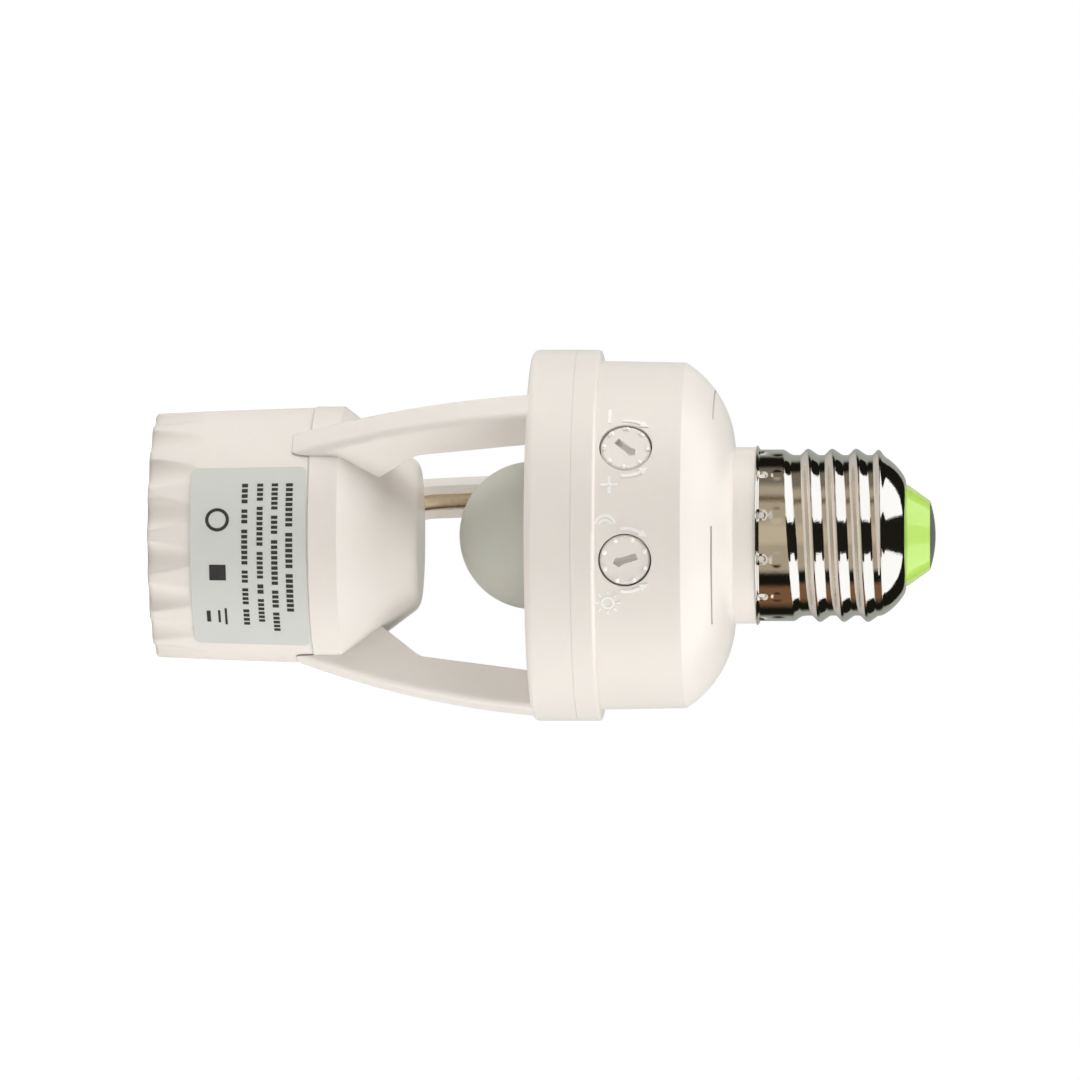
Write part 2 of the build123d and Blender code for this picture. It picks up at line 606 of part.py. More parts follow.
def cap_shell():
    """Pressed metal cap: a rolled lip, the threaded barrel and a rounded nose."""
    bend = Z_CAP_END - CAP_NOSE_HEIGHT
    inner = CAP_INNER_RADIUS
    hole = INSULATOR_RADIUS + SLIP
    outside = Polyline(*side([(inner, Z_CAP), (CAP_RADIUS + CAP_LIP, Z_CAP),
                              (CAP_RADIUS + CAP_LIP, Z_CAP + CAP_LIP_HEIGHT),
                              (CAP_RADIUS, Z_CAP + 2 * CAP_LIP_HEIGHT), (CAP_RADIUS, bend)]))
    nose = bowed((CAP_RADIUS, bend), (CAP_NOSE_RADIUS, Z_CAP_END), CAP_NOSE_BOW)
    rim = Polyline(*side([(CAP_NOSE_RADIUS, Z_CAP_END), (hole, Z_CAP_END),
                          (hole, Z_CAP_END - CAP_SHEET)]))
    inside = bowed((hole, Z_CAP_END - CAP_SHEET), (inner, bend), -CAP_NOSE_BOW)
    closing = Line(*side([(inner, bend), (inner, Z_CAP)]))
    shell = revolve(make_face(outside + nose + rim + inside + closing), Axis.Z)
    dent = Pos(CAP_RADIUS - CRIMP_DEPTH + CRIMP_ROUND, 0, Z_CAP + CRIMP_HEIGHT) * Sphere(CRIMP_ROUND)
    return shell - round_the_axis(dent, CRIMP_COUNT, 180 / CRIMP_COUNT)


def cap_insulator():
    """Coloured cone that keeps the centre contact apart from the shell."""
    root = Z_CAP_END - INSULATOR_ROOT
    hole, ledge = CONTACT_STEM_RADIUS + SHAFT_SLIP, CONTACT_RADIUS + SLIP
    brim = INSULATOR_RADIUS + INSULATOR_BRIM
    brim_top = root + INSULATOR_ROOT / 3
    return lathe([(hole, root), (brim, root), (brim, brim_top),
                  (INSULATOR_RADIUS, brim_top + INSULATOR_ROUND),
                  (INSULATOR_RADIUS, Z_CAP_END + 2 * SLIP), (ledge, Z_CONTACT), (hole, Z_CONTACT)],
                 [0, 0, 0, 0, INSULATOR_ROUND, INSULATOR_ROUND / 4, 0])


def cap_contact():
    """Domed centre contact with a stem through the insulator."""
    top = Z_CONTACT + CONTACT_DOME
    sphere = (CONTACT_RADIUS ** 2 + CONTACT_DOME ** 2) / (2 * CONTACT_DOME)
    half_way = asin(CONTACT_RADIUS / sphere) / 2
    crown = (sphere * sin(half_way), top - sphere * (1 - cos(half_way)))
    dome = ThreePointArc(*side([(CONTACT_RADIUS, Z_CONTACT), crown, (0, top)]))
    rest = Polyline(*side([(0, top), (0, Z_CAP_END - INSULATOR_ROOT),
                           (CONTACT_STEM_RADIUS, Z_CAP_END - INSULATOR_ROOT),
                           (CONTACT_STEM_RADIUS, Z_CONTACT), (CONTACT_RADIUS, Z_CONTACT)]))
    return revolve(make_face(dome + rest), Axis.Z)


def circuit_board():
    """Round board on the bosses of the front cover."""
    board = upright(BOARD_RADIUS, Z_BOARD, Z_BOARD_REAR)
    return board - [upright(SCREW_RADIUS + SHAFT_SLIP, Z_BOARD - SLIP, Z_BOARD_REAR + SLIP,
                            *polar(BOSS_REACH, angle)) for angle in BOSS_ANGLES]


def board_screws():
    """Three equal screws through the board into the bosses."""
    screws = []
    for angle in BOSS_ANGLES:
        place = polar(BOSS_REACH, angle)
        head = upright(SCREW_HEAD_RADIUS, Z_BOARD_REAR, Z_BOARD_REAR + SCREW_HEAD, *place)
        head = fillet(head.edges().sort_by(Axis.Z)[-1], SCREW_HEAD / 2)
        shank = upright(SCREW_RADIUS, Z_BOARD - SCREW_REACH + 2 * SLIP, Z_BOARD_REAR, *place)
        screws.append(head + shank)
    return screws


def pir_sensor():
    """Metal can with a brim on the board and a filter window under the lens."""
    front, brim = Z_BOARD - SENSOR_HEIGHT, Z_BOARD - 2 * SENSOR_BRIM
    can = lathe([(0, front), (SENSOR_RADIUS, front), (SENSOR_RADIUS, brim),
                 (SENSOR_RADIUS + SENSOR_BRIM, brim), (SENSOR_RADIUS + SENSOR_BRIM, Z_BOARD),
                 (0, Z_BOARD)], [0, SENSOR_BRIM, 0, 0, 0, 0])
    return can - block((*SENSOR_WINDOW, SENSOR_BRIM), 0, 0, front - SENSOR_BRIM / 2)


def photocell():
    """Light sensor disc beside the sensor can, under the lens."""
    reach = SENSOR_RADIUS + SENSOR_BRIM + SLIP + PHOTOCELL_RADIUS
    disc = upright(PHOTOCELL_RADIUS, Z_BOARD - PHOTOCELL_HEIGHT, Z_BOARD, reach)
    return fillet(disc.edges().sort_by(Axis.Z)[0], PHOTOCELL_HEIGHT / 5)


def cased(size, x, y, rounding):
    """Moulded component case that stands on the board's rear side."""
    case = block(size, x, y, Z_BOARD_REAR)
    top = case.faces().sort_by(Axis.Z)[-1]
    return fillet(case.edges().filter_by(Axis.Z) + top.edges(), rounding)


def relay():
    """Relay case, the largest one on the board."""
    return cased(RELAY_SIZE, RELAY_SHIFT, ROW_GAP + RELAY_SIZE[1] / 2, RELAY_ROUND)


def film_capacitor():
    """Film capacitor case on the dials' side of the relay."""
    return cased(FILM_CAPACITOR_SIZE, 0, -ROW_GAP - FILM_CAPACITOR_SIZE[1] / 2,
                 FILM_CAPACITOR_ROUND)


def bridge_rectifier():
    """Flat rectifier case between the relay and the board's edge."""
    reach = BOARD_RADIUS - RECTIFIER_INSET - RECTIFIER_SIZE[1] / 2
    return cased(RECTIFIER_SIZE, 0, reach, RECTIFIER_ROUND)


def can_capacitor(radius, height, inset, angle):
    """Round capacitor near the board's edge, with a rolled groove near its foot."""
    x, y = polar(BOARD_RADIUS - inset - radius, angle)
    can = upright(radius, Z_BOARD_REAR, Z_BOARD_REAR + height, x, y)
    can = fillet(can.edges().sort_by(Axis.Z)[-1], radius / 8)
    groove = Pos(x, y, Z_BOARD_REAR + height / 6) * Torus(radius + radius / 16, radius / 8)
    return can - groove


def controller_chip():
    """Flat chip on the front side of the board."""
    y = SENSOR_RADIUS + SENSOR_BRIM + CHIP_GAP + CHIP_SIZE[1] / 2
    return block(CHIP_SIZE, 0, y, Z_BOARD - CHIP_SIZE[2])


def fuse_resistor():
    """Lying resistor on two bent legs beside the relay."""
    x = RELAY_SHIFT + RELAY_SIZE[0] / 2 + RESISTOR_GAP + RESISTOR_RADIUS
    height = Z_BOARD_REAR + RESISTOR_LIFT + RESISTOR_RADIUS
    body = Pos(x, RESISTOR_SHIFT, height) * Rot(90, 0, 0) * Cylinder(RESISTOR_RADIUS, RESISTOR_LENGTH)
    body = fillet(body.edges().filter_by(GeomType.CIRCLE), RESISTOR_RADIUS / 3)
    reach = RESISTOR_LENGTH / 2 + RESISTOR_LEG
    path = FilletPolyline((x, RESISTOR_SHIFT - reach, Z_BOARD_REAR), (x, RESISTOR_SHIFT - reach, height),
                          (x, RESISTOR_SHIFT + reach, height), (x, RESISTOR_SHIFT + reach, Z_BOARD_REAR),
                          radius=RESISTOR_LEG - SLIP)
    return body + sweep(Plane(origin=path @ 0, z_dir=path % 0) * Circle(WIRE_RADIUS), path=path)


def lead(route, radius, angle):
    """Round lead along straight runs and tangent arcs in one plane through the axis."""
    points = side(route)
    bends = []
    for before, here, after in zip(route, route[1:], route[2:]):
        arriving = Vector(here[0] - before[0], here[1] - before[1])
        leaving = Vector(after[0] - here[0], after[1] - here[1])
        half_turn = radians(arriving.get_angle(leaving)) / 2
        bends.append(0.45 * min(arriving.length, leaving.length) / tan(half_turn))
    path = FilletPolyline(*points, radius=bends)
    start = Plane(origin=path @ 0, z_dir=path % 0)
    return turned(sweep(start * Circle(radius), path=path), angle)


def lamp_lead_route(end_reach):
    """Side route of a lead from the board, down an arm, to a rivet of the socket."""
    head = Z_BASE_REAR + RIVET_HEAD + SLEEVE_RADIUS
    mouth = Z_HUB_END - ARM_WEB
    behind = CHANNEL_BACK + SLEEVE_RADIUS + LEAD_SLACK
    in_arm = [(arm_line(z) - behind, z) for z in (Z_BEZEL - CAGE_GAP / 2, Z_HUB_END + HUB_WALL)]
    return [(LEAD_REACH, Z_BOARD), (LEAD_REACH, Z_BEZEL - BEZEL_PLATE), *in_arm,
            (cone_radius(mouth) + 3 * SLEEVE_RADIUS, mouth + SLEEVE_RADIUS),
            (cone_radius(head) - HUB_WALL - SLEEVE_RADIUS / 2, head),
            (end_reach - RIVET_RADIUS, head)]


def live_lamp_lead():
    """Sleeved lead in the rear arm, to the lamp's centre contact."""
    return lead(lamp_lead_route(CONTACT_RIVET_REACH), SLEEVE_RADIUS, ARM_ANGLES[LIVE_ARM])


def neutral_lamp_lead():
    """Sleeved lead in another arm, to the screw shell."""
    return lead(lamp_lead_route(SHELL_RIVET_REACH), SLEEVE_RADIUS, ARM_ANGLES[NEUTRAL_ARM])


def live_cap_lead():
    """Lead from the board up through the neck to the cap's centre contact."""
    start, end = Z_BOARD_REAR, Z_CAP_END - INSULATOR_ROOT
    return lead([(LIVE_CAP_SHIFT, start), (LIVE_CAP_SHIFT, Z_SHOULDER), (0, Z_CAP), (0, end)],
                LEAD_RADIUS, 0)


def neutral_cap_lead():
    """Lead from the board up through the neck and over its spigot to the cap's shell."""
    inside = NECK_BORE_RADIUS - LEAD_RADIUS - 4 * SLIP
    over = Z_CAP + NECK_SPIGOT + LEAD_RADIUS + SLIP
    return lead([(NEUTRAL_CAP_SHIFT, Z_BOARD_REAR), (NEUTRAL_CAP_SHIFT, Z_SHOULDER),
                 (inside, Z_NECK), (inside, over), (CAP_INNER_RADIUS - SHAFT_SLIP, over)],
                LEAD_RADIUS, 0)


PARTS = {
    "socket_cup": socket_cup,
    "rating_label": rating_label,
    "lamp_screw_shell": lamp_screw_shell,
    "socket_base": socket_base,
    "lamp_contact": lamp_contact,
    "socket_rivets": socket_rivets,
    "front_cover": front_cover,
    "lens_dome": lens_dome,
    "rear_housing": rear_housing,
    "time_dial": lambda: dial(TIME_ANGLE, TIME_POINTER),
    "lux_dial": lambda: dial(LUX_ANGLE, LUX_POINTER),
    "time_potentiometer": lambda: potentiometer(TIME_ANGLE),
    "lux_potentiometer": lambda: potentiometer(LUX_ANGLE),
    "cap_shell": cap_shell,
    "cap_insulator": cap_insulator,
    "cap_contact": cap_contact,
    "circuit_board": circuit_board,
    "board_screws": board_screws,
    "pir_sensor": pir_sensor,
    "photocell": photocell,
    "relay": relay,
    "film_capacitor": film_capacitor,
    "bridge_rectifier": bridge_rectifier,
    "smoothing_capacitor": lambda: can_capacitor(SMOOTHING_RADIUS, SMOOTHING_HEIGHT,
                                                 SMOOTHING_INSET, SMOOTHING_ANGLE),
    "timing_capacitor": lambda: can_capacitor(TIMING_RADIUS, TIMING_HEIGHT,
                                              TIMING_INSET, TIMING_ANGLE),
    "controller_chip": controller_chip,
    "fuse_resistor": fuse_resistor,
    "live_lamp_lead": live_lamp_lead,
    "neutral_lamp_lead": neutral_lamp_lead,
    "live_cap_lead": live_cap_lead,
    "neutral_cap_lead": neutral_cap_lead,
}

for name, make in PARTS.items():
    shape = make()
    pieces = shape if isinstance(shape, list) else [shape]
    solids = [solid for piece in pieces for solid in piece.solids()]
    export_step(solids[0] if len(solids) == 1 else Compound(children=solids), f"parts/{name}.step")
    print(name, len(solids), round(sum(solid.volume for solid in solids), 1))
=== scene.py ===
# %% [markdown]
# Motion sensor lamp holder: a lesson in dressing a CAD part.
# The holder screws into a lamp socket with its metal cap and takes a lamp in its own fluted socket.
# The solids come finished from CAD, so this script gives them their finishes, adds what is too fine
# for CAD, such as rolled threads, printed bars and raised signs, and sets up a small photo studio.
# The scene is in metres, and small sizes are named in millimetres and multiplied by MM. The axis of
# the holder is Z and the side with the dials faces -Y.

# %% Load the frame
from math import atan2, cos, floor, hypot, pi, radians, sin

import bmesh
import bpy
from mathutils import Matrix, Vector


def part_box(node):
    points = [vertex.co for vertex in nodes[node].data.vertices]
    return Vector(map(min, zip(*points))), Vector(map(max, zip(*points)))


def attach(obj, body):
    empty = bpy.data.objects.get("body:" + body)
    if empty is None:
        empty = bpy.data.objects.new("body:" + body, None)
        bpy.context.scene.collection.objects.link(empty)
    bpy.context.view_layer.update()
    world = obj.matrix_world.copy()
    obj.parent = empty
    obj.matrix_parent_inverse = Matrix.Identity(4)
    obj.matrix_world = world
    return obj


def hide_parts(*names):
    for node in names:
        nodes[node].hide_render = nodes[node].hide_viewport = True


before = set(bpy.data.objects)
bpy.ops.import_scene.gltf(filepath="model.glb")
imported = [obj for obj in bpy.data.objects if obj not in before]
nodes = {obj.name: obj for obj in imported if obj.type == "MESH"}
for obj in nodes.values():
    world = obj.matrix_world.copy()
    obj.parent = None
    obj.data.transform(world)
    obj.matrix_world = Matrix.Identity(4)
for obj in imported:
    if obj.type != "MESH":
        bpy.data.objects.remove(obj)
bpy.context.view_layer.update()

MM = 0.001

# %% [markdown]
# The camera comes first, because every later choice is judged through it.
# The holder was photographed lying across the frame, from its dial side and slightly from the cap's
# end. Here it stands upright, so the camera is rolled a quarter turn instead: +Z runs to the right
# of the frame and -X runs up. A long lens keeps the outlines nearly parallel, as in the photograph.

# %% Camera
VIEW_TILT = radians(3.1)
VIEW_DISTANCE = 1.4
FRAME_WIDTH = 0.16364
VIEW_TARGET = Vector((0.00071, 0.0, 0.0580))
toward_camera = Vector((0, -cos(VIEW_TILT), sin(VIEW_TILT)))
frame_right = Vector((0, sin(VIEW_TILT), cos(VIEW_TILT)))
frame_up = Vector((-1, 0, 0))

lens = bpy.data.cameras.new("camera")
lens.sensor_width = 36.0
lens.lens = lens.sensor_width * VIEW_DISTANCE / FRAME_WIDTH
camera = bpy.data.objects.new("camera", lens)
bpy.context.scene.collection.objects.link(camera)
turn = Matrix((frame_right, frame_up, toward_camera)).transposed().to_4x4()
camera.matrix_world = Matrix.Translation(VIEW_TARGET + VIEW_DISTANCE * toward_camera) @ turn
bpy.context.scene.camera = camera
print("lens of", round(lens.lens), "mm")

# %% [markdown]
# Light: two large soft boxes stand on the long sides of the holder, a smaller one shines from
# beyond the cap's end, and the room is white. The world gives the even part. A camera, mirror or
# glass ray sees it pure white, while the light it sheds on the plastic is set apart, so that a
# pale surface never clips.

# %% World and view
scene = bpy.context.scene
scene.view_settings.view_transform = "Standard"
WORLD_LIGHT = 0.13
WORLD_TINT = (1.0, 0.985, 0.965)

world = bpy.data.worlds.new("white_room")
scene.world = world
world.use_nodes = True
w_nodes, w_links = world.node_tree.nodes, world.node_tree.links
w_nodes.clear()
w_path = w_nodes.new("ShaderNodeLightPath")
w_seen = w_nodes.new("ShaderNodeMath")
w_seen.operation = "MAXIMUM"
w_any = w_nodes.new("ShaderNodeMath")
w_any.operation = "MAXIMUM"
w_links.new(w_path.outputs["Is Camera Ray"], w_seen.inputs[0])
w_links.new(w_path.outputs["Is Glossy Ray"], w_seen.inputs[1])
w_links.new(w_seen.outputs[0], w_any.inputs[0])
w_links.new(w_path.outputs["Is Transmission Ray"], w_any.inputs[1])
w_light = w_nodes.new("ShaderNodeBackground")
w_light.inputs["Color"].default_value = (*WORLD_TINT, 1)
w_light.inputs["Strength"].default_value = WORLD_LIGHT
w_white = w_nodes.new("ShaderNodeBackground")
w_white.inputs["Color"].default_value = (1, 1, 1, 1)
w_white.inputs["Strength"].default_value = 1.0
w_mix = w_nodes.new("ShaderNodeMixShader")
w_out = w_nodes.new("ShaderNodeOutputWorld")
w_links.new(w_any.outputs[0], w_mix.inputs[0])
w_links.new(w_light.outputs[0], w_mix.inputs[1])
w_links.new(w_white.outputs[0], w_mix.inputs[2])
w_links.new(w_mix.outputs[0], w_out.inputs["Surface"])
print("white room, world light", WORLD_LIGHT)

# %% [markdown]
# A soft box is placed by its turn round the axis, its distance and its height, and it looks at the
# middle of the holder. Mirror rays don't see it, because the cap gets its own surroundings below.

# %% Soft boxes
BOX_TINT = (1.0, 0.985, 0.96)
BOX_AIM = Vector((0, 0, 0.06))


def direction(turn_deg):
    """Unit vector square to the axis, at a turn from the camera's side towards -X."""
    return Vector((-sin(radians(turn_deg)), -cos(radians(turn_deg)), 0))


def soft_box(name, turn_deg, distance, width, height, watts, z):
    """A rectangular lamp that looks at the middle of the holder."""
    data = bpy.data.lights.new(name, "AREA")
    data.shape = "RECTANGLE"
    data.size, data.size_y = width, height
    data.energy = watts
    data.color = BOX_TINT
    lamp = bpy.data.objects.new(name, data)
    scene.collection.objects.link(lamp)
    lamp.location = distance * direction(turn_deg) + Vector((0, 0, z))
    lamp.rotation_euler = (BOX_AIM - lamp.location).to_track_quat("-Z", "Y").to_euler()
    lamp.visible_glossy = False
    print(name, "of", watts, "W")


soft_box("box_above", turn_deg=74, distance=0.60, width=0.50, height=0.55, watts=2.95, z=0.30)
soft_box("box_below", turn_deg=-74, distance=0.60, width=0.50, height=0.55, watts=3.3, z=0.30)
soft_box("box_cap_end", turn_deg=0, distance=0.16, width=0.45, height=0.45, watts=2.1, z=0.69)

# %% [markdown]
# Bright metal shows only what stands round it, so a studio stands things there to draw its forms. A
# point of the cap that is turned by some angle mirrors what stands at twice that angle, and a flank
# of the thread that leans mirrors what is twice as high. The things that stand here are glowing
# sheets, plain or painted in bands round the axis, and only mirror rays see them.

# %% A sheet for mirrors
def paint_round(tree, glow, paint_stops):
    """Colours a glow by the turn round the axis, from pairs of a share of a turn and a colour."""
    place = tree.nodes.new("ShaderNodeTexCoord")
    sweep = tree.nodes.new("ShaderNodeTexGradient")
    sweep.gradient_type = "RADIAL"
    ramp = tree.nodes.new("ShaderNodeValToRGB")
    tree.links.new(place.outputs["Object"], sweep.inputs["Vector"])
    tree.links.new(sweep.outputs["Fac"], ramp.inputs["Fac"])
    tree.links.new(ramp.outputs["Color"], glow.inputs["Color"])
    stops = ramp.color_ramp.elements
    while len(stops) < len(paint_stops):
        stops.new(0.5)
    for stop, (share, stop_colour) in zip(stops, sorted(paint_stops)):
        stop.position = share
        stop.color = (*stop_colour, 1)


def for_mirrors_only(name, corners, faces, paint_stops=None, colour=None):
    """A glowing sheet that only reflections can see, plain or painted round the axis."""
    mesh = bpy.data.meshes.new(name)
    mesh.from_pydata(corners, [], faces)
    piece = bpy.data.objects.new(name, mesh)
    scene.collection.objects.link(piece)
    paint = bpy.data.materials.new(name)
    paint.use_nodes = True
    tree = paint.node_tree
    tree.nodes.clear()
    glow = tree.nodes.new("ShaderNodeEmission")
    out = tree.nodes.new("ShaderNodeOutputMaterial")
    tree.links.new(glow.outputs[0], out.inputs["Surface"])
    if paint_stops:
        paint_round(tree, glow, paint_stops)
    else:
        glow.inputs["Color"].default_value = (*colour, 1)
    mesh.materials.append(paint)
    piece.visible_camera = False
    piece.visible_diffuse = False
    piece.visible_shadow = False
    piece.visible_transmission = False
    piece.visible_volume_scatter = False
    print(name, "for mirror rays")


print("sheets for mirrors can be made")

# %% [markdown]
# A screen runs round the cap at its own height: warm grey in front and palest at the middle, black,
# rust and dusk at the sides, cool grey behind. Above it are a bright ceiling with a dark strip, a
# black flag over the camera, and a black flag and a grey sheet at the rear.

# %% Screen, flags and ceiling
BLACK = (0.012, 0.011, 0.008)
BROWN = (0.17, 0.125, 0.075)
WARM = (0.52, 0.46, 0.36)
PALE = (0.68, 0.60, 0.47)
GREY = (0.42, 0.45, 0.42)
RUST = (0.24, 0.13, 0.07)
DUSK = (0.22, 0.20, 0.16)
BRIGHT = (1.38, 1.45, 1.55)
# Turns from the camera's side towards -X, in degrees, and what stands there
ROUND = (
    (-178, GREY), (-142, GREY), (-132, BLACK), (-116, BLACK), (-100, RUST), (-76, RUST),
    (-68, BLACK), (-54, BLACK), (-47, WARM), (-22, WARM), (-15, WARM), (-8, PALE), (10, PALE),
    (20, WARM), (43, WARM), (50, BROWN), (58, WARM), (66, WARM), (76, DUSK), (98, DUSK),
    (106, BLACK), (126, BLACK), (136, GREY), (178, GREY))
SCREEN_REACH, SCREEN_TOP, SCREEN_STEPS = 0.5, 0.31, 72
# The near and far edge of each sheet, as (left x, right x, y, z), and its colour
SHEETS = {
    "flag": ((-0.25, 0.30, -0.49, 0.27), (-0.13, 0.25, -0.24, 0.60), BLACK),
    "strip": ((-0.16, 0.15, -0.30, 0.60), (-0.11, 0.10, 0.30, 0.60), BLACK),
    "ceiling": ((-0.9, 0.9, -0.5, 0.62), (-0.9, 0.9, 0.30, 0.62), BRIGHT),
    "rear_flag": ((-0.9, 0.9, 0.30, 0.62), (-0.9, 0.9, 0.55, 0.37), BLACK),
    "rear_sheet": ((-0.9, 0.9, 0.55, 0.37), (-0.9, 0.9, 0.55, 0.28), GREY),
}


def ramp_share(turn_deg):
    """Where a turn lies on the radial gradient, which starts at -X and runs by way of -Y."""
    spot = direction(turn_deg)
    return (atan2(spot.y, spot.x) / (2 * pi) + 0.5) % 1.0


wall_angles = [2 * pi * i / SCREEN_STEPS for i in range(SCREEN_STEPS)]
wall = [(SCREEN_REACH * cos(a), SCREEN_REACH * sin(a), z)
        for z in (0.0, SCREEN_TOP) for a in wall_angles]
wall_faces = [(i, (i + 1) % SCREEN_STEPS, SCREEN_STEPS + (i + 1) % SCREEN_STEPS, SCREEN_STEPS + i)
              for i in range(SCREEN_STEPS)]
for_mirrors_only("screen", wall, wall_faces,
                 paint_stops=[(ramp_share(turn_deg), colour) for turn_deg, colour in ROUND])
for name, (near, far, colour) in SHEETS.items():
    corners = [(near[0], *near[2:]), (near[1], *near[2:]), (far[1], *far[2:]), (far[0], *far[2:])]
    for_mirrors_only(name, corners, [(0, 1, 2, 3)], colour=colour)

# %% [markdown]
# The floor is white paper. Part of its white is its own glow, which only camera and glass rays see,
# so the paper reads as plain white. The rest is lit, so that the holder still leaves a faint
# shadow on it. Other rays meet a plain pale sheet that throws light back at the holder.

# %% Floor
def paper_floor(half_size, glow_strength, lit_colour, bounce_colour):
    """A sheet of white paper under the holder."""
    mesh = bpy.data.meshes.new("floor")
    signs = ((-1, -1), (1, -1), (1, 1), (-1, 1))
    mesh.from_pydata([(x * half_size, y * half_size, 0) for x, y in signs], [], [(0, 1, 2, 3)])
    floor_piece = bpy.data.objects.new("floor", mesh)
    scene.collection.objects.link(floor_piece)
    paper = bpy.data.materials.new("paper")
    paper.use_nodes = True
    p_nodes, p_links = paper.node_tree.nodes, paper.node_tree.links
    p_nodes.clear()
    path = p_nodes.new("ShaderNodeLightPath")
    lit = p_nodes.new("ShaderNodeBsdfDiffuse")
    lit.inputs["Color"].default_value = (*lit_colour, 1)
    bounce = p_nodes.new("ShaderNodeBsdfDiffuse")
    bounce.inputs["Color"].default_value = (*bounce_colour, 1)
    glow = p_nodes.new("ShaderNodeEmission")
    glow.inputs["Strength"].default_value = glow_strength
    seen = p_nodes.new("ShaderNodeMath")
    seen.operation = "MAXIMUM"
    p_links.new(path.outputs["Is Camera Ray"], seen.inputs[0])
    p_links.new(path.outputs["Is Transmission Ray"], seen.inputs[1])
    add, mix = p_nodes.new("ShaderNodeAddShader"), p_nodes.new("ShaderNodeMixShader")
    out = p_nodes.new("ShaderNodeOutputMaterial")
    p_links.new(lit.outputs[0], add.inputs[0])
    p_links.new(glow.outputs[0], add.inputs[1])
    p_links.new(seen.outputs[0], mix.inputs[0])
    p_links.new(bounce.outputs[0], mix.inputs[1])
    p_links.new(add.outputs[0], mix.inputs[2])
    p_links.new(mix.outputs[0], out.inputs["Surface"])
    mesh.materials.append(paper)
    print("paper floor of", 2 * half_size, "m")


paper_floor(half_size=0.5, glow_strength=0.90, lit_colour=(0.25, 0.25, 0.25),
            bounce_colour=(0.8, 0.79, 0.78))

# %% [markdown]
# Finishes are trees of nodes. One helper makes a group with its sockets. The others make a sum, a
# blend, a noise or a stretch, and give back the socket with the result, so that later lines read
# as formulas.

# %% Node helpers
def new_group(name, inputs, outputs):
    """An empty shader group with its sockets: (name, kind, value) in, (name, kind) out."""
    group = bpy.data.node_groups.new(name, "ShaderNodeTree")
    kinds = {"value": "NodeSocketFloat", "colour": "NodeSocketColor", "vector": "NodeSocketVector"}
    for label, kind, value in inputs:
        socket = group.interface.new_socket(name=label, in_out="INPUT", socket_type=kinds[kind])
        if value is not None:
            socket.default_value = value
    for label, kind in outputs:
        group.interface.new_socket(name=label, in_out="OUTPUT", socket_type=kinds[kind])
    return group, group.nodes.new("NodeGroupInput"), group.nodes.new("NodeGroupOutput")


def maths(tree, operation, first, second=None, clamp=False):
    """A Math node whose inputs are sockets or numbers, and its output."""
    node = tree.nodes.new("ShaderNodeMath")
    node.operation = operation
    node.use_clamp = clamp
    for socket, value in zip(node.inputs, (first, second)):
        if value is None:
            continue
        if isinstance(value, (int, float)):
            socket.default_value = value
        else:
            tree.links.new(value, socket)
    return node.outputs[0]


def blend_colours(tree, share, first, second):
    """A colour between two, by a mask. A Mix node has its colours on inputs 6 and 7, output 2."""
    node = tree.nodes.new("ShaderNodeMix")
    node.data_type = "RGBA"
    factor, colour_a, colour_b = node.inputs[0], node.inputs[6], node.inputs[7]
    for socket, value in ((factor, share), (colour_a, first), (colour_b, second)):
        if isinstance(value, (int, float)):
            socket.default_value = value
        elif isinstance(value, tuple):
            socket.default_value = (*value, 1)
        else:
            tree.links.new(value, socket)
    return node.outputs[2]


def noise(tree, coordinates, scale, detail=2.0, roughness=0.5):
    """A noise texture's value."""
    node = tree.nodes.new("ShaderNodeTexNoise")
    node.inputs["Detail"].default_value = detail
    node.inputs["Roughness"].default_value = roughness
    tree.links.new(coordinates, node.inputs["Vector"])
    if isinstance(scale, (int, float)):
        node.inputs["Scale"].default_value = scale
    else:
        tree.links.new(scale, node.inputs["Scale"])
    return node.outputs["Fac"]


def spread(tree, value, low, high):
    """A value stretched from low..high to 0..1 and clamped."""
    node = tree.nodes.new("ShaderNodeMapRange")
    tree.links.new(value, node.inputs["Value"])
    node.inputs["From Min"].default_value = low
    node.inputs["From Max"].default_value = high
    return node.outputs["Result"]


print("node helpers ready")

# %% [markdown]
# Finishes share a few effects, so each effect is a node group, built once, with named sockets.
# "tone_drift" lets a colour wander a little over a moulding, as filled plastic does when it flows.
# "fine_grain" is the height of a fine texture. "edge_shine" finds edges by comparing the true
# normal with one that is rounded over a small radius. Its mask paints a highlight along the edges,
# a lighter colour, and it gives back that softer normal as well.
# "handling_marks" draws thin stretched rubs, and only in patches.

# %% Node groups
tone_drift, g_in, g_out = new_group(
    "tone_drift",
    [("Coordinates", "vector", None), ("Scale", "value", 60.0), ("Colour", "colour", None),
     ("Drift Colour", "colour", None), ("Amount", "value", 0.5)],
    [("Colour", "colour"), ("Mask", "value")])
broad = noise(tone_drift, g_in.outputs["Coordinates"], g_in.outputs["Scale"],
              detail=3.0, roughness=0.55)
mask = spread(tone_drift, broad, low=0.3, high=0.7)
share = maths(tone_drift, "MULTIPLY", mask, g_in.outputs["Amount"])
tone_drift.links.new(blend_colours(tone_drift, share, g_in.outputs["Colour"],
                                   g_in.outputs["Drift Colour"]), g_out.inputs["Colour"])
tone_drift.links.new(mask, g_out.inputs["Mask"])

fine_grain, g_in, g_out = new_group(
    "fine_grain",
    [("Coordinates", "vector", None), ("Scale", "value", 4000.0), ("Wave Scale", "value", 250.0),
     ("Wave Share", "value", 0.5)],
    [("Height", "value")])
small = noise(fine_grain, g_in.outputs["Coordinates"], g_in.outputs["Scale"],
              detail=2.0, roughness=0.6)
large = noise(fine_grain, g_in.outputs["Coordinates"], g_in.outputs["Wave Scale"],
              detail=1.0, roughness=0.5)
swell = maths(fine_grain, "MULTIPLY", large, g_in.outputs["Wave Share"])
fine_grain.links.new(maths(fine_grain, "ADD", small, swell), g_out.inputs["Height"])

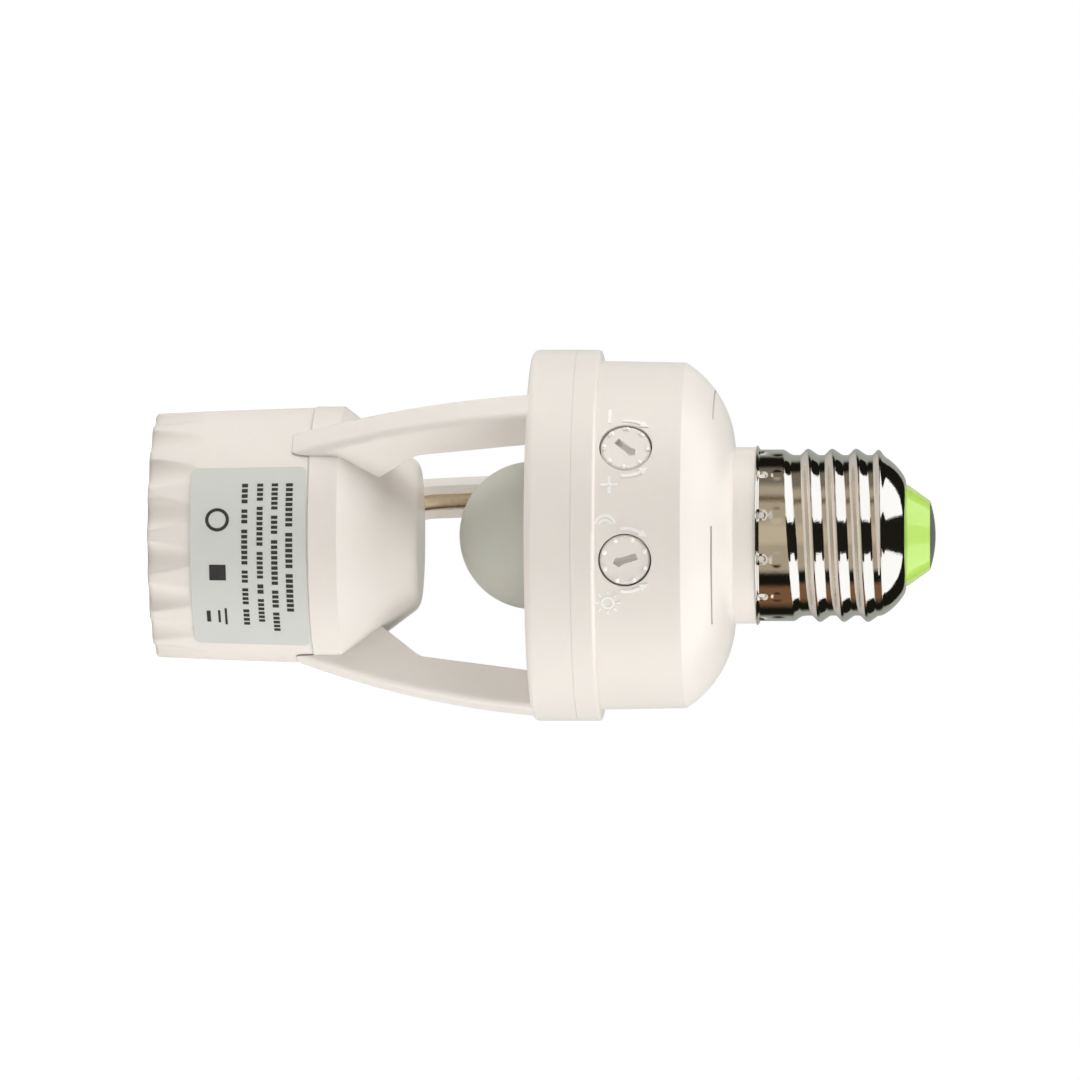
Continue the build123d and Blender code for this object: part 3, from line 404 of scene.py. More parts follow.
edge_shine, g_in, g_out = new_group(
    "edge_shine", [("Radius", "value", 0.0002), ("Sharpness", "value", 4.0)],
    [("Mask", "value"), ("Normal", "vector")])
rounded = edge_shine.nodes.new("ShaderNodeBevel")
rounded.samples = 6
edge_shine.links.new(g_in.outputs["Radius"], rounded.inputs["Radius"])
plain = edge_shine.nodes.new("ShaderNodeNewGeometry")
dot = edge_shine.nodes.new("ShaderNodeVectorMath")
dot.operation = "DOT_PRODUCT"
edge_shine.links.new(rounded.outputs[0], dot.inputs[0])
edge_shine.links.new(plain.outputs["Normal"], dot.inputs[1])
away = maths(edge_shine, "SUBTRACT", 1.0, dot.outputs["Value"])
edge_shine.links.new(maths(edge_shine, "MULTIPLY", away, g_in.outputs["Sharpness"], True),
                     g_out.inputs["Mask"])
edge_shine.links.new(rounded.outputs[0], g_out.inputs["Normal"])

STREAK_STRETCH, STREAK_TURN = (1.0, 1.0, 9.0), (0.5, 0.3, 0.9)
PATCH_SCALE = 55.0
handling_marks, g_in, g_out = new_group(
    "handling_marks",
    [("Coordinates", "vector", None), ("Scale", "value", 90.0), ("Amount", "value", 0.3)],
    [("Mask", "value")])
stretch = handling_marks.nodes.new("ShaderNodeMapping")
stretch.inputs["Scale"].default_value = STREAK_STRETCH
stretch.inputs["Rotation"].default_value = STREAK_TURN
handling_marks.links.new(g_in.outputs["Coordinates"], stretch.inputs["Vector"])
streaks = noise(handling_marks, stretch.outputs[0], g_in.outputs["Scale"],
                detail=4.0, roughness=0.65)
patches = noise(handling_marks, g_in.outputs["Coordinates"], PATCH_SCALE,
                detail=1.0, roughness=0.5)
lines = maths(handling_marks, "MULTIPLY", spread(handling_marks, streaks, low=0.56, high=0.7),
              spread(handling_marks, patches, low=0.45, high=0.7))
handling_marks.links.new(maths(handling_marks, "MULTIPLY", lines, g_in.outputs["Amount"]),
                         g_out.inputs["Mask"])
print("node groups:", [g.name for g in bpy.data.node_groups])

# %% [markdown]
# Every finish here is one recipe with its own values: a base colour that drifts, a roughness that
# rises where hands have rubbed, soft edges with a painted highlight, a lighter colour along them,
# and a grain of its own scale. Shiny coats, metals and glassy plastics differ only in the plain
# numbers on the main shader.

# %% The recipe of a finish
# Sharpness of the edge mask, and how much lighter a finish is painted along its edges, as a
# highlight
EDGE_SHARPNESS, EDGE_HIGHLIGHT_LIFT = 4.0, 1.08
MARKS_SCALE, ROUGHNESS_WANDER = 90.0, 0.12


def finish(name, colour, drift, drift_amount=0.5, drift_scale=60.0, roughness=0.4, rub=0.12,
           grain=4000.0, wave=250.0, wave_share=0.5, bump=0.1, bump_distance=0.00004,
           edge_radius=0.0002, edge_colour=None, edge_highlight_amount=0.3, **plain):
    """A procedural material from the shared groups; plain values go on the main shader."""
    material = bpy.data.materials.new(name)
    material.use_nodes = True
    tree = material.node_tree
    shader = tree.nodes["Principled BSDF"]
    place = tree.nodes.new("ShaderNodeTexCoord").outputs["Object"]

    def group(kind, **values):
        node = tree.nodes.new("ShaderNodeGroup")
        node.node_tree = kind
        for label, value in values.items():
            socket = node.inputs[label.replace("_", " ")]
            socket.default_value = (*value, 1) if isinstance(value, tuple) else value
        if "Coordinates" in node.inputs:
            tree.links.new(place, node.inputs["Coordinates"])
        return node

    tone = group(tone_drift, Scale=drift_scale, Colour=colour, Drift_Colour=drift,
                 Amount=drift_amount)
    edge = group(edge_shine, Radius=edge_radius, Sharpness=EDGE_SHARPNESS)
    rubs = group(handling_marks, Scale=MARKS_SCALE, Amount=rub)
    texture = group(fine_grain, Scale=grain, Wave_Scale=wave, Wave_Share=wave_share)
    # Painted highlight: the colour turns lighter along edges, by the edge mask, where light would
    # catch a rounded edge
    edge_highlight_share = maths(tree, "MULTIPLY", edge.outputs["Mask"], edge_highlight_amount)
    tinted = blend_colours(tree, edge_highlight_share, tone.outputs["Colour"],
                           edge_colour or tuple(min(1.0, c * EDGE_HIGHLIGHT_LIFT) for c in colour))
    tree.links.new(tinted, shader.inputs["Base Color"])
    rough = maths(tree, "ADD", rubs.outputs["Mask"], roughness)
    wander = maths(tree, "MULTIPLY", tone.outputs["Mask"], roughness * ROUGHNESS_WANDER)
    tree.links.new(maths(tree, "ADD", rough, wander, True), shader.inputs["Roughness"])
    relief = tree.nodes.new("ShaderNodeBump")
    relief.inputs["Strength"].default_value = bump
    relief.inputs["Distance"].default_value = bump_distance
    tree.links.new(texture.outputs["Height"], relief.inputs["Height"])
    tree.links.new(edge.outputs["Normal"], relief.inputs["Normal"])
    tree.links.new(relief.outputs["Normal"], shader.inputs["Normal"])
    for label, value in plain.items():
        shader.inputs[label.replace("_", " ")].default_value = value
    return material


def dress(material, *names):
    """Gives a material to CAD pieces by their names."""
    for name in names:
        slots = nodes[name].data.materials
        if len(slots) == 0:
            slots.append(material)
        for index in range(len(slots)):
            slots[index] = material
    print(material.name, "on", ", ".join(names))


print("recipe of a finish ready")

# %% [markdown]
# The mouldings are a warm white glossy plastic with a little light scattered under the skin.
# The flow of the melt leaves a very slow swell in the surface, which breaks the reflections.
# The cup gets the same finish with a wider edge rounding, as its flutes run softly into each other.

# %% White mouldings
WHITE = (0.86, 0.82, 0.777)
WHITE_DRIFT = (0.83, 0.79, 0.745)
# The edge colour here is a painted highlight along the edges, lighter than the plastic
MOULDED = {"drift_amount": 0.6, "drift_scale": 45.0, "rub": 0.10, "grain": 5200.0, "wave": 160.0,
           "wave_share": 2.2, "bump": 0.10, "edge_colour": (0.90, 0.87, 0.83),
           "Subsurface_Weight": 0.06, "Subsurface_Scale": 0.001}
white_plastic = finish("white_plastic", WHITE, WHITE_DRIFT, roughness=0.30, edge_radius=0.00025,
                       Coat_Weight=0.15, Coat_Roughness=0.2, **MOULDED)
dress(white_plastic, "front_cover", "rear_housing")
cup_plastic = finish("cup_plastic", WHITE, WHITE_DRIFT, roughness=0.34, edge_radius=0.0011,
                     Coat_Weight=0.1, Coat_Roughness=0.25, **MOULDED)
dress(cup_plastic, "socket_cup")
# The dial's edge colour is a painted highlight, lighter than the dial
dial_plastic = finish("dial_plastic", (0.86, 0.83, 0.79), WHITE_DRIFT, drift_amount=0.4,
                      drift_scale=140.0, roughness=0.34, grain=6000.0, wave=500.0, bump=0.12,
                      edge_radius=0.00012, edge_colour=(0.93, 0.90, 0.86),
                      Subsurface_Weight=0.05, Subsurface_Scale=0.0006)
dress(dial_plastic, "time_dial", "lux_dial")

# %% [markdown]
# The lens is a thin milky dome that lets infrared through. Its outside is matt and grey green.

# %% Lens
lens_film = finish("lens_film", (0.625, 0.64, 0.58), (0.58, 0.595, 0.535), drift_amount=0.5,
                   drift_scale=90.0, roughness=0.5, rub=0.05, grain=7000.0, wave=700.0,
                   wave_share=0.8, bump=0.12, edge_radius=0.0002, Subsurface_Weight=0.25,
                   Subsurface_Scale=0.0015)
dress(lens_film, "lens_dome")

# %% [markdown]
# Metals: nickel on the cap and the screw shell, brass strip for the contact and the rivets, and
# the grey solder of the centre contact, which has run and set with a slightly lumpy skin.

# %% Metals
nickel = finish("nickel", (0.71, 0.67, 0.61), (0.66, 0.61, 0.54), drift_amount=0.6,
                drift_scale=130.0, roughness=0.055, rub=0.06, grain=2600.0, wave=420.0,
                wave_share=1.4, bump=0.14, bump_distance=0.00006, edge_radius=0.0001,
                Metallic=1.0)
brass = finish("brass", (0.72, 0.55, 0.28), (0.60, 0.44, 0.22), drift_amount=0.7,
               drift_scale=300.0, roughness=0.24, rub=0.25, grain=3000.0, bump=0.15,
               Metallic=1.0)
solder = finish("solder", (0.17, 0.19, 0.165), (0.12, 0.14, 0.12), drift_amount=0.8,
                drift_scale=420.0, roughness=0.42, rub=0.2, grain=2400.0, wave=700.0,
                wave_share=3.0, bump=0.5, bump_distance=0.0001, Metallic=0.35)
dress(nickel, "cap_shell", "lamp_screw_shell")
dress(brass, "lamp_contact", "socket_rivets")
dress(solder, "cap_contact")

# %% [markdown]
# The insulator of the cap is a coloured glassy cone: bright yellow green, deep and wet looking.

# %% Insulator
insulator = finish("green_insulator", (0.51, 0.775, 0.152), (0.47, 0.74, 0.13), drift_amount=0.6,
                   drift_scale=220.0, roughness=0.22, rub=0.05, grain=2200.0, wave=380.0,
                   wave_share=1.6, bump=0.12, edge_radius=0.0003, Subsurface_Weight=0.15,
                   Subsurface_Scale=0.001, Coat_Weight=0.6, Coat_Roughness=0.08)
dress(insulator, "cap_insulator")

# %% [markdown]
# The rating label is silver grey film, printed in black. Its words and signs stay off this part,
# so it carries rows of dashes where lines of print would be, and a few simple shapes.

# %% Label film
label_film = finish("label_film", (0.69, 0.715, 0.69), (0.65, 0.675, 0.65), drift_amount=0.5,
                    drift_scale=120.0, roughness=0.42, rub=0.08, grain=5000.0, wave=140.0,
                    wave_share=2.0, bump=0.10, edge_radius=0.00008, Metallic=0.15)
print_ink = finish("print_ink", (0.018, 0.018, 0.018), (0.035, 0.035, 0.035), drift_amount=0.6,
                   drift_scale=700.0, roughness=0.45, grain=6000.0, bump=0.1,
                   edge_radius=0.00003)
dress(label_film, "rating_label")

# %% [markdown]
# Inside the housing and the socket: these pieces are hardly seen, yet each keeps its own finish.
# The board is green laminate, the relay a blue case, the film capacitor a yellow one.

# %% Inner pieces
# Each finish has its colour, the colour it drifts to, its roughness and the pieces that wear it
INNER = {
    "phenolic": ((0.66, 0.63, 0.56), (0.58, 0.55, 0.48), 0.5, ("socket_base",)),
    "laminate": ((0.05, 0.22, 0.09), (0.03, 0.15, 0.06), 0.35, ("circuit_board",)),
    "relay_case": ((0.06, 0.16, 0.42), (0.05, 0.12, 0.34), 0.35, ("relay",)),
    "trimmer_case": ((0.05, 0.20, 0.48), (0.04, 0.14, 0.38), 0.4,
                     ("time_potentiometer", "lux_potentiometer")),
    "film_case": ((0.72, 0.50, 0.06), (0.62, 0.42, 0.04), 0.35, ("film_capacitor",)),
    "epoxy_case": ((0.03, 0.03, 0.03), (0.045, 0.045, 0.045), 0.5,
                   ("bridge_rectifier", "controller_chip")),
    "shrunk_sleeve": ((0.04, 0.04, 0.07), (0.06, 0.06, 0.09), 0.3,
                      ("smoothing_capacitor", "timing_capacitor")),
    "resistor_coat": ((0.16, 0.34, 0.32), (0.12, 0.27, 0.25), 0.5, ("fuse_resistor",)),
    "cell_disc": ((0.62, 0.30, 0.12), (0.50, 0.22, 0.08), 0.45, ("photocell",)),
    "lead_cover": ((0.48, 0.03, 0.03), (0.38, 0.02, 0.02), 0.4,
                   ("live_cap_lead", "neutral_cap_lead")),
}
for name, (colour, drift, roughness, pieces) in INNER.items():
    dress(finish(name, colour, drift, drift_amount=0.6, drift_scale=200.0, roughness=roughness,
                 grain=4000.0, bump=0.15), *pieces)
zinc = finish("zinc", (0.62, 0.62, 0.60), (0.52, 0.52, 0.50), drift_amount=0.6,
              drift_scale=350.0, roughness=0.3, grain=3500.0, bump=0.2, Metallic=1.0)
dress(zinc, "board_screws", "pir_sensor")

# %% [markdown]
# The leads in the arms run in woven glass sleeve. Two sets of fine bands that cross, one turning
# left and one right round the tube, read as braid at this scale. The lead that is in sight is
# grown along its normals, by the wall of its sleeve in millimetres.

# %% Woven sleeve
BRAID_LEAN, BRAID_SCALE = 0.8, 480.0
BRAID_STRENGTH, BRAID_DEPTH = 0.6, 0.0001
SLEEVE_WALL = 0.22


def woven_sleeve():
    """Tan braided sleeve whose relief comes from two crossed waves."""
    material = finish("woven_sleeve", (0.80, 0.66, 0.47), (0.72, 0.57, 0.38), drift_amount=0.6,
                      drift_scale=300.0, roughness=0.7, grain=6000.0, bump=0.2,
                      edge_radius=0.00005)
    tree = material.node_tree
    place = tree.nodes.new("ShaderNodeTexCoord").outputs["Object"]
    heights = []
    for lean in (BRAID_LEAN, -BRAID_LEAN):
        turned = tree.nodes.new("ShaderNodeMapping")
        turned.inputs["Rotation"].default_value = (lean, lean / 2, 0)
        tree.links.new(place, turned.inputs["Vector"])
        wave = tree.nodes.new("ShaderNodeTexWave")
        wave.bands_direction = "Z"
        wave.inputs["Scale"].default_value = BRAID_SCALE
        tree.links.new(turned.outputs[0], wave.inputs["Vector"])
        heights.append(wave.outputs["Fac"])
    braid = maths(tree, "MAXIMUM", heights[0], heights[1])
    relief = tree.nodes.new("ShaderNodeBump")
    relief.inputs["Strength"].default_value = BRAID_STRENGTH
    relief.inputs["Distance"].default_value = BRAID_DEPTH
    tree.links.new(braid, relief.inputs["Height"])
    tree.links.new(relief.outputs["Normal"], tree.nodes["Principled BSDF"].inputs["Normal"])
    return material


def sleeved(lead, name, material):
    """The same lead, grown outwards along its normals by the wall of its sleeve."""
    mesh = nodes[lead].data.copy()
    mesh.name = name
    grown = [vert.co + vert.normal * SLEEVE_WALL * MM for vert in mesh.vertices]
    for vert, place in zip(mesh.vertices, grown):
        vert.co = place
    mesh.materials.clear()
    mesh.materials.append(material)
    piece = bpy.data.objects.new(name, mesh)
    piece.matrix_world = nodes[lead].matrix_world.copy()
    scene.collection.objects.link(piece)
    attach(piece, "holder")
    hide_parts(lead)
    print(name, len(mesh.polygons), "faces")


sleeve = woven_sleeve()
dress(sleeve, "neutral_lamp_lead")
sleeved("live_lamp_lead", "live_sleeve", sleeve)

# %% [markdown]
# The thread of the cap is rolled into thin sheet, so it is a wave in the wall, not a cut. Its
# values come first, with lengths in millimetres and angles in degrees. The crest climbs one pitch
# a turn, and CREST_AT_UP is its height on the side that is up in the picture. The run-in is where
# the plain band slopes down into the thread. The pairs say from where to where the crest grows
# after the run-in, and fades at the nose.

# %% Values of the cap
CAP_START, CAP_END = 90.9, 113.4
THREAD_PITCH, CREST_AT_UP = 3.629, 98.6
CREST_RADIUS, ROOT_RADIUS, BAND_RADIUS = 13.1, 12.15, 12.98
FLANK_TO_CAP, FLANK_TO_NECK, FLANK_EASE = 1.8, 1.3, 0.44
RUN_IN_MIDDLE, RUN_IN_SWING, RUN_IN_LENGTH, RUN_IN_LEAD = 96.0, 0.8, 1.65, 0.4
CREST_GROWS, CREST_FADES = (0.6, 2.4), (-0.6, 0.9)
NOSE_START, NOSE_RADIUS = 109.6, 8.3
NOSE_POWER, NOSE_ROUNDING = 1.35, 0.75
SHEET = 0.4
LIP_REACH, LIP_HEIGHT = 13.6, 0.5
CRIMP_COUNT, CRIMP_FIRST = 12, 16.2
PINCH_Z, PINCH_DEPTH, PINCH_ACROSS, PINCH_ALONG = 91.9, 0.5, 0.92, 0.95
BULGE_Z, BULGE_RADIUS, BULGE_HEIGHT, BULGE_POWER = 94.2, 1.3, 0.10, 1.4
UNEVEN_STEP, UNEVEN_SHIFT, UNEVEN_SIZE = 2.4, 0.14, 0.16
print("thread of", THREAD_PITCH, "mm pitch and", round(CREST_RADIUS - ROOT_RADIUS, 2), "mm height")

# %% [markdown]
# The wall is a grid of points, round the axis and along it. Each point's radius follows from its
# phase in the thread: a round crest, two even flanks and a flat valley. Twelve small crimps near
# the lip hold the sheet on the plastic neck, and they differ a little in size and place.

# %% Shape of the cap
def smooth(value, low, high):
    """An eased step from 0 at low to 1 at high."""
    t = min(1.0, max(0.0, (value - low) / (high - low)))
    return t * t * (3 - 2 * t)


def climb(distance, run, ease):
    """Share of a flank passed at a distance: even in its middle, rounded at both ends."""
    d = min(max(distance, 0.0), run)
    if d < ease:
        return d * d / (2 * ease * (run - ease))
    if d > run - ease:
        return 1 - (run - d) ** 2 / (2 * ease * (run - ease))
    return (d - ease / 2) / (run - ease)


def crest_share(z, angle):
    """How far up a thread's crest a point is, from 0 to 1. The angle is from +X, in degrees."""
    phase = (z - CREST_AT_UP) / THREAD_PITCH - (angle - 180.0) / 360.0
    off = (phase - floor(phase + 0.5)) * THREAD_PITCH
    return 1 - climb(abs(off), FLANK_TO_CAP if off > 0 else FLANK_TO_NECK, FLANK_EASE)


def crimp(z, angle):
    """The pinch of the nearest crimp near the lip and the round bulge behind it, in mm."""
    step = 360.0 / CRIMP_COUNT
    nearest = floor((angle - CRIMP_FIRST) / step + 0.5)
    uneven = sin(UNEVEN_STEP * (nearest % CRIMP_COUNT))
    across = radians(angle - CRIMP_FIRST - nearest * step) * BAND_RADIUS - UNEVEN_SHIFT * uneven
    size = 1 + UNEVEN_SIZE * uneven
    off = hypot(across / (PINCH_ACROSS * size), (z - PINCH_Z) / PINCH_ALONG)
    pinch = max(0.0, 1 - off ** 2) ** 2
    bulge = max(0.0, 1 - (hypot(across, z - BULGE_Z) / (BULGE_RADIUS * size)) ** 2) ** BULGE_POWER
    return BULGE_HEIGHT * bulge - PINCH_DEPTH * pinch


def cap_radius(z, angle):
    """Outer radius of the cap's sheet at a height and an angle, in mm."""
    run_in = RUN_IN_MIDDLE + RUN_IN_SWING * cos(radians(angle))
    crest = (CREST_RADIUS - ROOT_RADIUS) * crest_share(z, angle)
    crest *= smooth(z - run_in, *CREST_GROWS) * (1 - smooth(z - NOSE_START, *CREST_FADES))
    if z > NOSE_START:
        t = (z - NOSE_START) / (CAP_END - NOSE_START)
        rounded_off = max(0.0, 1 - t ** NOSE_POWER) ** NOSE_ROUNDING
        return NOSE_RADIUS + (ROOT_RADIUS - NOSE_RADIUS) * rounded_off + crest
    lip = (LIP_REACH - BAND_RADIUS) * max(0.0, 1 - ((z - CAP_START) / LIP_HEIGHT) ** 2)
    band = BAND_RADIUS + crimp(z, angle) + lip
    run_in_share = climb(z - run_in + RUN_IN_LEAD, RUN_IN_LENGTH, FLANK_EASE)
    return band + (ROOT_RADIUS + crest - band) * run_in_share


print("cap radius at the band and at a crest:", round(cap_radius(94, 7), 2),
      round(cap_radius(102.2, 180), 2))

# %% [markdown]
# A helper turns any such radius rule into a closed sheet: an outer skin, an inner skin that is
# plainer, and two rims between them. It serves the cap and the lamp's screw shell alike.

# %% Rolled sheet
def rolled_sheet(name, heights, inner_heights, outer_rule, inner_rule, steps):
    """Closed sheet of revolution whose two radii may change round the axis."""
    mesh = bpy.data.meshes.new(name)
    points, faces = [], []
    for rule, skin_heights in ((outer_rule, heights), (inner_rule, inner_heights[::-1])):
        for z in skin_heights:
            for i in range(steps):
                angle = 360.0 * i / steps
                r = rule(z, angle)
                points.append((r * cos(radians(angle)) * MM, r * sin(radians(angle)) * MM, z * MM))
    rows = len(points) // steps
    for row in range(rows):
        here, above = row * steps, ((row + 1) % rows) * steps
        for i in range(steps):
            j = (i + 1) % steps
            faces.append((here + i, here + j, above + j, above + i))
    mesh.from_pydata(points, [], faces)
    mesh.polygons.foreach_set("use_smooth", [True] * len(faces))
    piece = bpy.data.objects.new(name, mesh)
    scene.collection.objects.link(piece)
    print(name, len(faces) * 2, "triangles")
    return piece


def levels(*marks):
    """Heights from one mark to the next, each stretch with its own step: (from, to, step)."""
    result = []
    for low, high, step in marks:
        count = max(1, round((high - low) / step))
        result += [low + (high - low) * i / count for i in range(count)]
    return result + [marks[-1][1]]


BAND_END, FINE_ROW, THREAD_ROW = 95.4, 0.12, 0.19
cap_heights = levels((CAP_START, BAND_END, FINE_ROW), (BAND_END, NOSE_START, THREAD_ROW),
                     (NOSE_START, CAP_END, FINE_ROW))
cap_steps = 420
cap = rolled_sheet("threaded_cap", cap_heights, cap_heights[::3] + [CAP_END], cap_radius,
                   lambda z, angle: cap_radius(z, angle) - SHEET, cap_steps)
cap.data.materials.append(nickel)
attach(cap, "holder")
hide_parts("cap_shell")

# %% [markdown]
# The lamp's screw shell has the same thread, pressed the other way: its crests point inwards.
# It is seen from the mouth, deep in the cup.

# %% Lamp's screw shell
shell_low, shell_high = (corner.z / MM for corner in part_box("lamp_screw_shell"))
SHELL_WALL, SHELL_CREST, SHELL_SHEET = 13.3, 12.35, 0.35
SHELL_GROWS, SHELL_FADES = (0.6, 1.8), (-1.5, 0.0)
SHELL_STEP, SHELL_STEP_LENGTH, SHELL_REAR = 24.6, 0.7, 12.6
FLANGE_RADIUS, FLANGE_WIDTH, FLANGE_SHEET = 8.8, 3.8, 0.4
FLANGE_TURN = (-0.42, -0.38)
SHELL_ROWS, SHELL_STEPS, SHELL_TOP_GAP = 110, 180, 0.45


def shell_radius(z, angle):
    """Inner radius of the screw shell."""
    inward = (SHELL_WALL - SHELL_CREST) * crest_share(z, angle)
    inward *= smooth(z - shell_low, *SHELL_GROWS) * (1 - smooth(z - SHELL_STEP, *SHELL_FADES))
    wall = SHELL_WALL - inward
    wall -= (SHELL_WALL - SHELL_REAR) * smooth(z - SHELL_STEP, 0.0, SHELL_STEP_LENGTH)
    return wall + (FLANGE_RADIUS - wall) * smooth(z - shell_high, *FLANGE_TURN)


def shell_outside(z, angle):
    """Outer radius of the screw shell: a thin sheet round the wall, a wide one at the flange."""
    sheet = SHELL_SHEET if z < shell_high - FLANGE_SHEET else FLANGE_WIDTH
    return min(shell_radius(z, angle), SHELL_WALL) + sheet


wall_length = shell_high - shell_low - SHELL_TOP_GAP
shell_heights = [shell_low + wall_length * i / SHELL_ROWS for i in range(SHELL_ROWS + 1)]
shell_heights += [shell_high + FLANGE_TURN[0], shell_high + FLANGE_TURN[1], shell_high]
screw_shell = rolled_sheet("threaded_shell", shell_heights, shell_heights, shell_outside,
                           shell_radius, SHELL_STEPS)
screw_shell.data.materials.append(nickel)
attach(screw_shell, "holder")
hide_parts("lamp_screw_shell")

# %% [markdown]
# Print and raised signs start as flat outlines in millimetres, with x along the holder's axis
# and y round it, and are then bent onto the cup or the drum. A thin prism with many small
# faces bends well, so each outline is cut into narrow strips before it is bent.

# %% Bent plates
def bend(piece_name, outlines, place, height, material, body, grid=0.4):
    """Flat polygons, cut along a grid, bent by place(x, y, lift) and given a height."""
    sheet = bmesh.new()
    for outline in outlines:
        face = sheet.faces.new([sheet.verts.new((x, y, 0)) for x, y in outline])
        if face.normal.z < 0 or sum(a[0] * b[1] - b[0] * a[1] for a, b in
                                    zip(outline, outline[1:] + outline[:1])) < 0:
            face.normal_flip()
    low = min(y for outline in outlines for _, y in outline)
    high = max(y for outline in outlines for _, y in outline)
    cuts = int((high - low) / grid)
    for i in range(1, cuts + 1):
        y = low + (high - low) * i / (cuts + 1)
        bmesh.ops.bisect_plane(sheet, geom=sheet.verts[:] + sheet.edges[:] + sheet.faces[:],
                               plane_co=(0, y, 0), plane_no=(0, 1, 0))
    bmesh.ops.triangulate(sheet, faces=sheet.faces[:])
    lifted = bmesh.ops.extrude_face_region(sheet, geom=sheet.faces[:])
    for vert in [g for g in lifted["geom"] if isinstance(g, bmesh.types.BMVert)]:
        vert.co.z = height
    bmesh.ops.recalc_face_normals(sheet, faces=sheet.faces[:])
    for vert in sheet.verts:
        vert.co = place(vert.co.x, vert.co.y, vert.co.z)
    mesh = bpy.data.meshes.new(piece_name)
    sheet.to_mesh(mesh)
    sheet.free()
    mesh.materials.append(material)
    piece = bpy.data.objects.new(piece_name, mesh)
    scene.collection.objects.link(piece)
    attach(piece, body)
    print(piece_name, len(mesh.polygons), "faces")


def on_drum(angle, z, radius):
    """Rule that bends x along the axis and y round it onto a cylinder, at an angle from +X."""
    def place(x, y, lift):
        turn_here = radians(angle) - y / radius
        r = radius + lift
        return Vector((r * cos(turn_here) * MM, r * sin(turn_here) * MM, (z + x) * MM))
    return place


print("plates can be bent")

# %% [markdown]
# Nearly every sign here is made of two kinds of outline: a band that follows a circle, and a
# straight bar.

# %% Outlines
def ring(radius, width, start, end, steps=40, centre=(0.0, 0.0)):
    """Outline of a band that follows a circle between two angles."""
    angles = [radians(start + (end - start) * i / steps) for i in range(steps + 1)]

    def arc(r):
        return [(centre[0] + r * cos(a), centre[1] + r * sin(a)) for a in angles]

    return arc(radius + width / 2) + arc(radius - width / 2)[::-1]


def bar(x, y, length, width, lean=0.0):
    """Outline of a straight bar about its middle; the length runs along x before it leans."""
    c, s = cos(radians(lean)), sin(radians(lean))
    half = ((-length / 2, -width / 2), (length / 2, -width / 2),
            (length / 2, width / 2), (-length / 2, width / 2))
    return [(x + a * c - b * s, y + a * s + b * c) for a, b in half]


print("a whole ring has", len(ring(1.0, 0.2, 0, 360)), "corners")

# %% [markdown]
# The label's print. Rows of short dashes stand for the lines of words, and a ring, a square and
# a few bars stand for its signs. The ink is a film of a few hundredths of a millimetre.

# %% Label print
LABEL_TURN = -76.8
LABEL_MIDDLE = 15.0
CUP_MOUTH, CUP_SEAM, CUP_LENGTH = 18.6, 19.4, 24.2
LABEL_SHEET = 0.2


def on_label(x, y, lift):
    """Bends onto the slightly conical face of the label."""
    z = LABEL_MIDDLE + x
    r = CUP_MOUTH + (CUP_SEAM - CUP_MOUTH) * z / CUP_LENGTH + LABEL_SHEET + lift
    turn_here = radians(LABEL_TURN) - y / (CUP_SEAM + LABEL_SHEET)
    return Vector((r * cos(turn_here) * MM, r * sin(turn_here) * MM, z * MM))


# Each line of print: its place along the axis, its height and the lengths of its words
LINES = ((6.4, 1.05, (7.0, 5.6, 6.6)), (4.2, 0.95, (4.4, 3.0, 7.2, 3.2, 4.0)),
         (2.0, 0.9, (3.0, 6.2, 4.4, 1.8, 4.5)), (-0.3, 0.9, (3.4, 2.4, 5.6, 2.2, 3.0, 3.3)))
# A square and three bars, each as (x, y, length, width)
BLOCKS = ((-4.4, -1.3, 2.5, 2.5), (-6.0, -9.0, 0.6, 2.2), (-3.4, -9.0, 0.35, 3.2),
          (-4.4, -9.0, 0.35, 2.4))
WORD_GAP, DASH_STEP, DASH_GAP = 0.7, 0.8, 0.26
LINE_TOP, INK_HEIGHT = 12.7, 0.03
print_shapes = []
for x, thickness, words in LINES:
    y = LINE_TOP
    for word in words:
        count = round(word / DASH_STEP)
        dash = word / count - DASH_GAP
        print_shapes += [bar(x, y - word * (i + 0.5) / count, thickness, dash)
                         for i in range(count)]
        y -= word + WORD_GAP
print_shapes.append(ring(1.55, 0.5, 0, 360, steps=48, centre=(-4.4, 6.9)))
print_shapes += [bar(*block) for block in BLOCKS]
bend("label_print", print_shapes, on_label, INK_HEIGHT, print_ink, "holder")

# %% [markdown]
# Raised signs round the dials: a minus and a plus by the time dial, a moon and a sun by the light
# dial, and two turning arrows round each. They stand about a seventh of a millimetre proud of the
# drum and are moulded in the same plastic, a little smoother. Their colour is painted near white,
# lighter than the drum, as a painted highlight for the light they catch.

# %% Raised signs
DRUM_RADIUS = 26.28
DIAL_Z = 72.0
TIME_TURN, LUX_TURN = -120.0, -81.8
SIGN_HEIGHT, SIGN_SINK = 0.17, 0.03
STROKE = 0.46
ARROW_RADIUS = 4.75
HEAD_HALF, HEAD_BACK, HEAD_LENGTH = 0.6, 0.1, 1.2
SUN_X, SUN_Y, RAY_REACH = -2.6, -6.5, 1.6


def arrow_ring(start, end):
    """A band round a dial with an arrow head at its end."""
    a = radians(end)
    onward = 1 if end > start else -1

    def spot(out, along):
        return ((ARROW_RADIUS + out) * cos(a) - along * onward * sin(a),
                (ARROW_RADIUS + out) * sin(a) + along * onward * cos(a))

    head = [spot(HEAD_HALF, -HEAD_BACK), spot(-HEAD_HALF, -HEAD_BACK), spot(0.0, HEAD_LENGTH)]
    return [ring(ARROW_RADIUS, STROKE, start, end, 24), head]
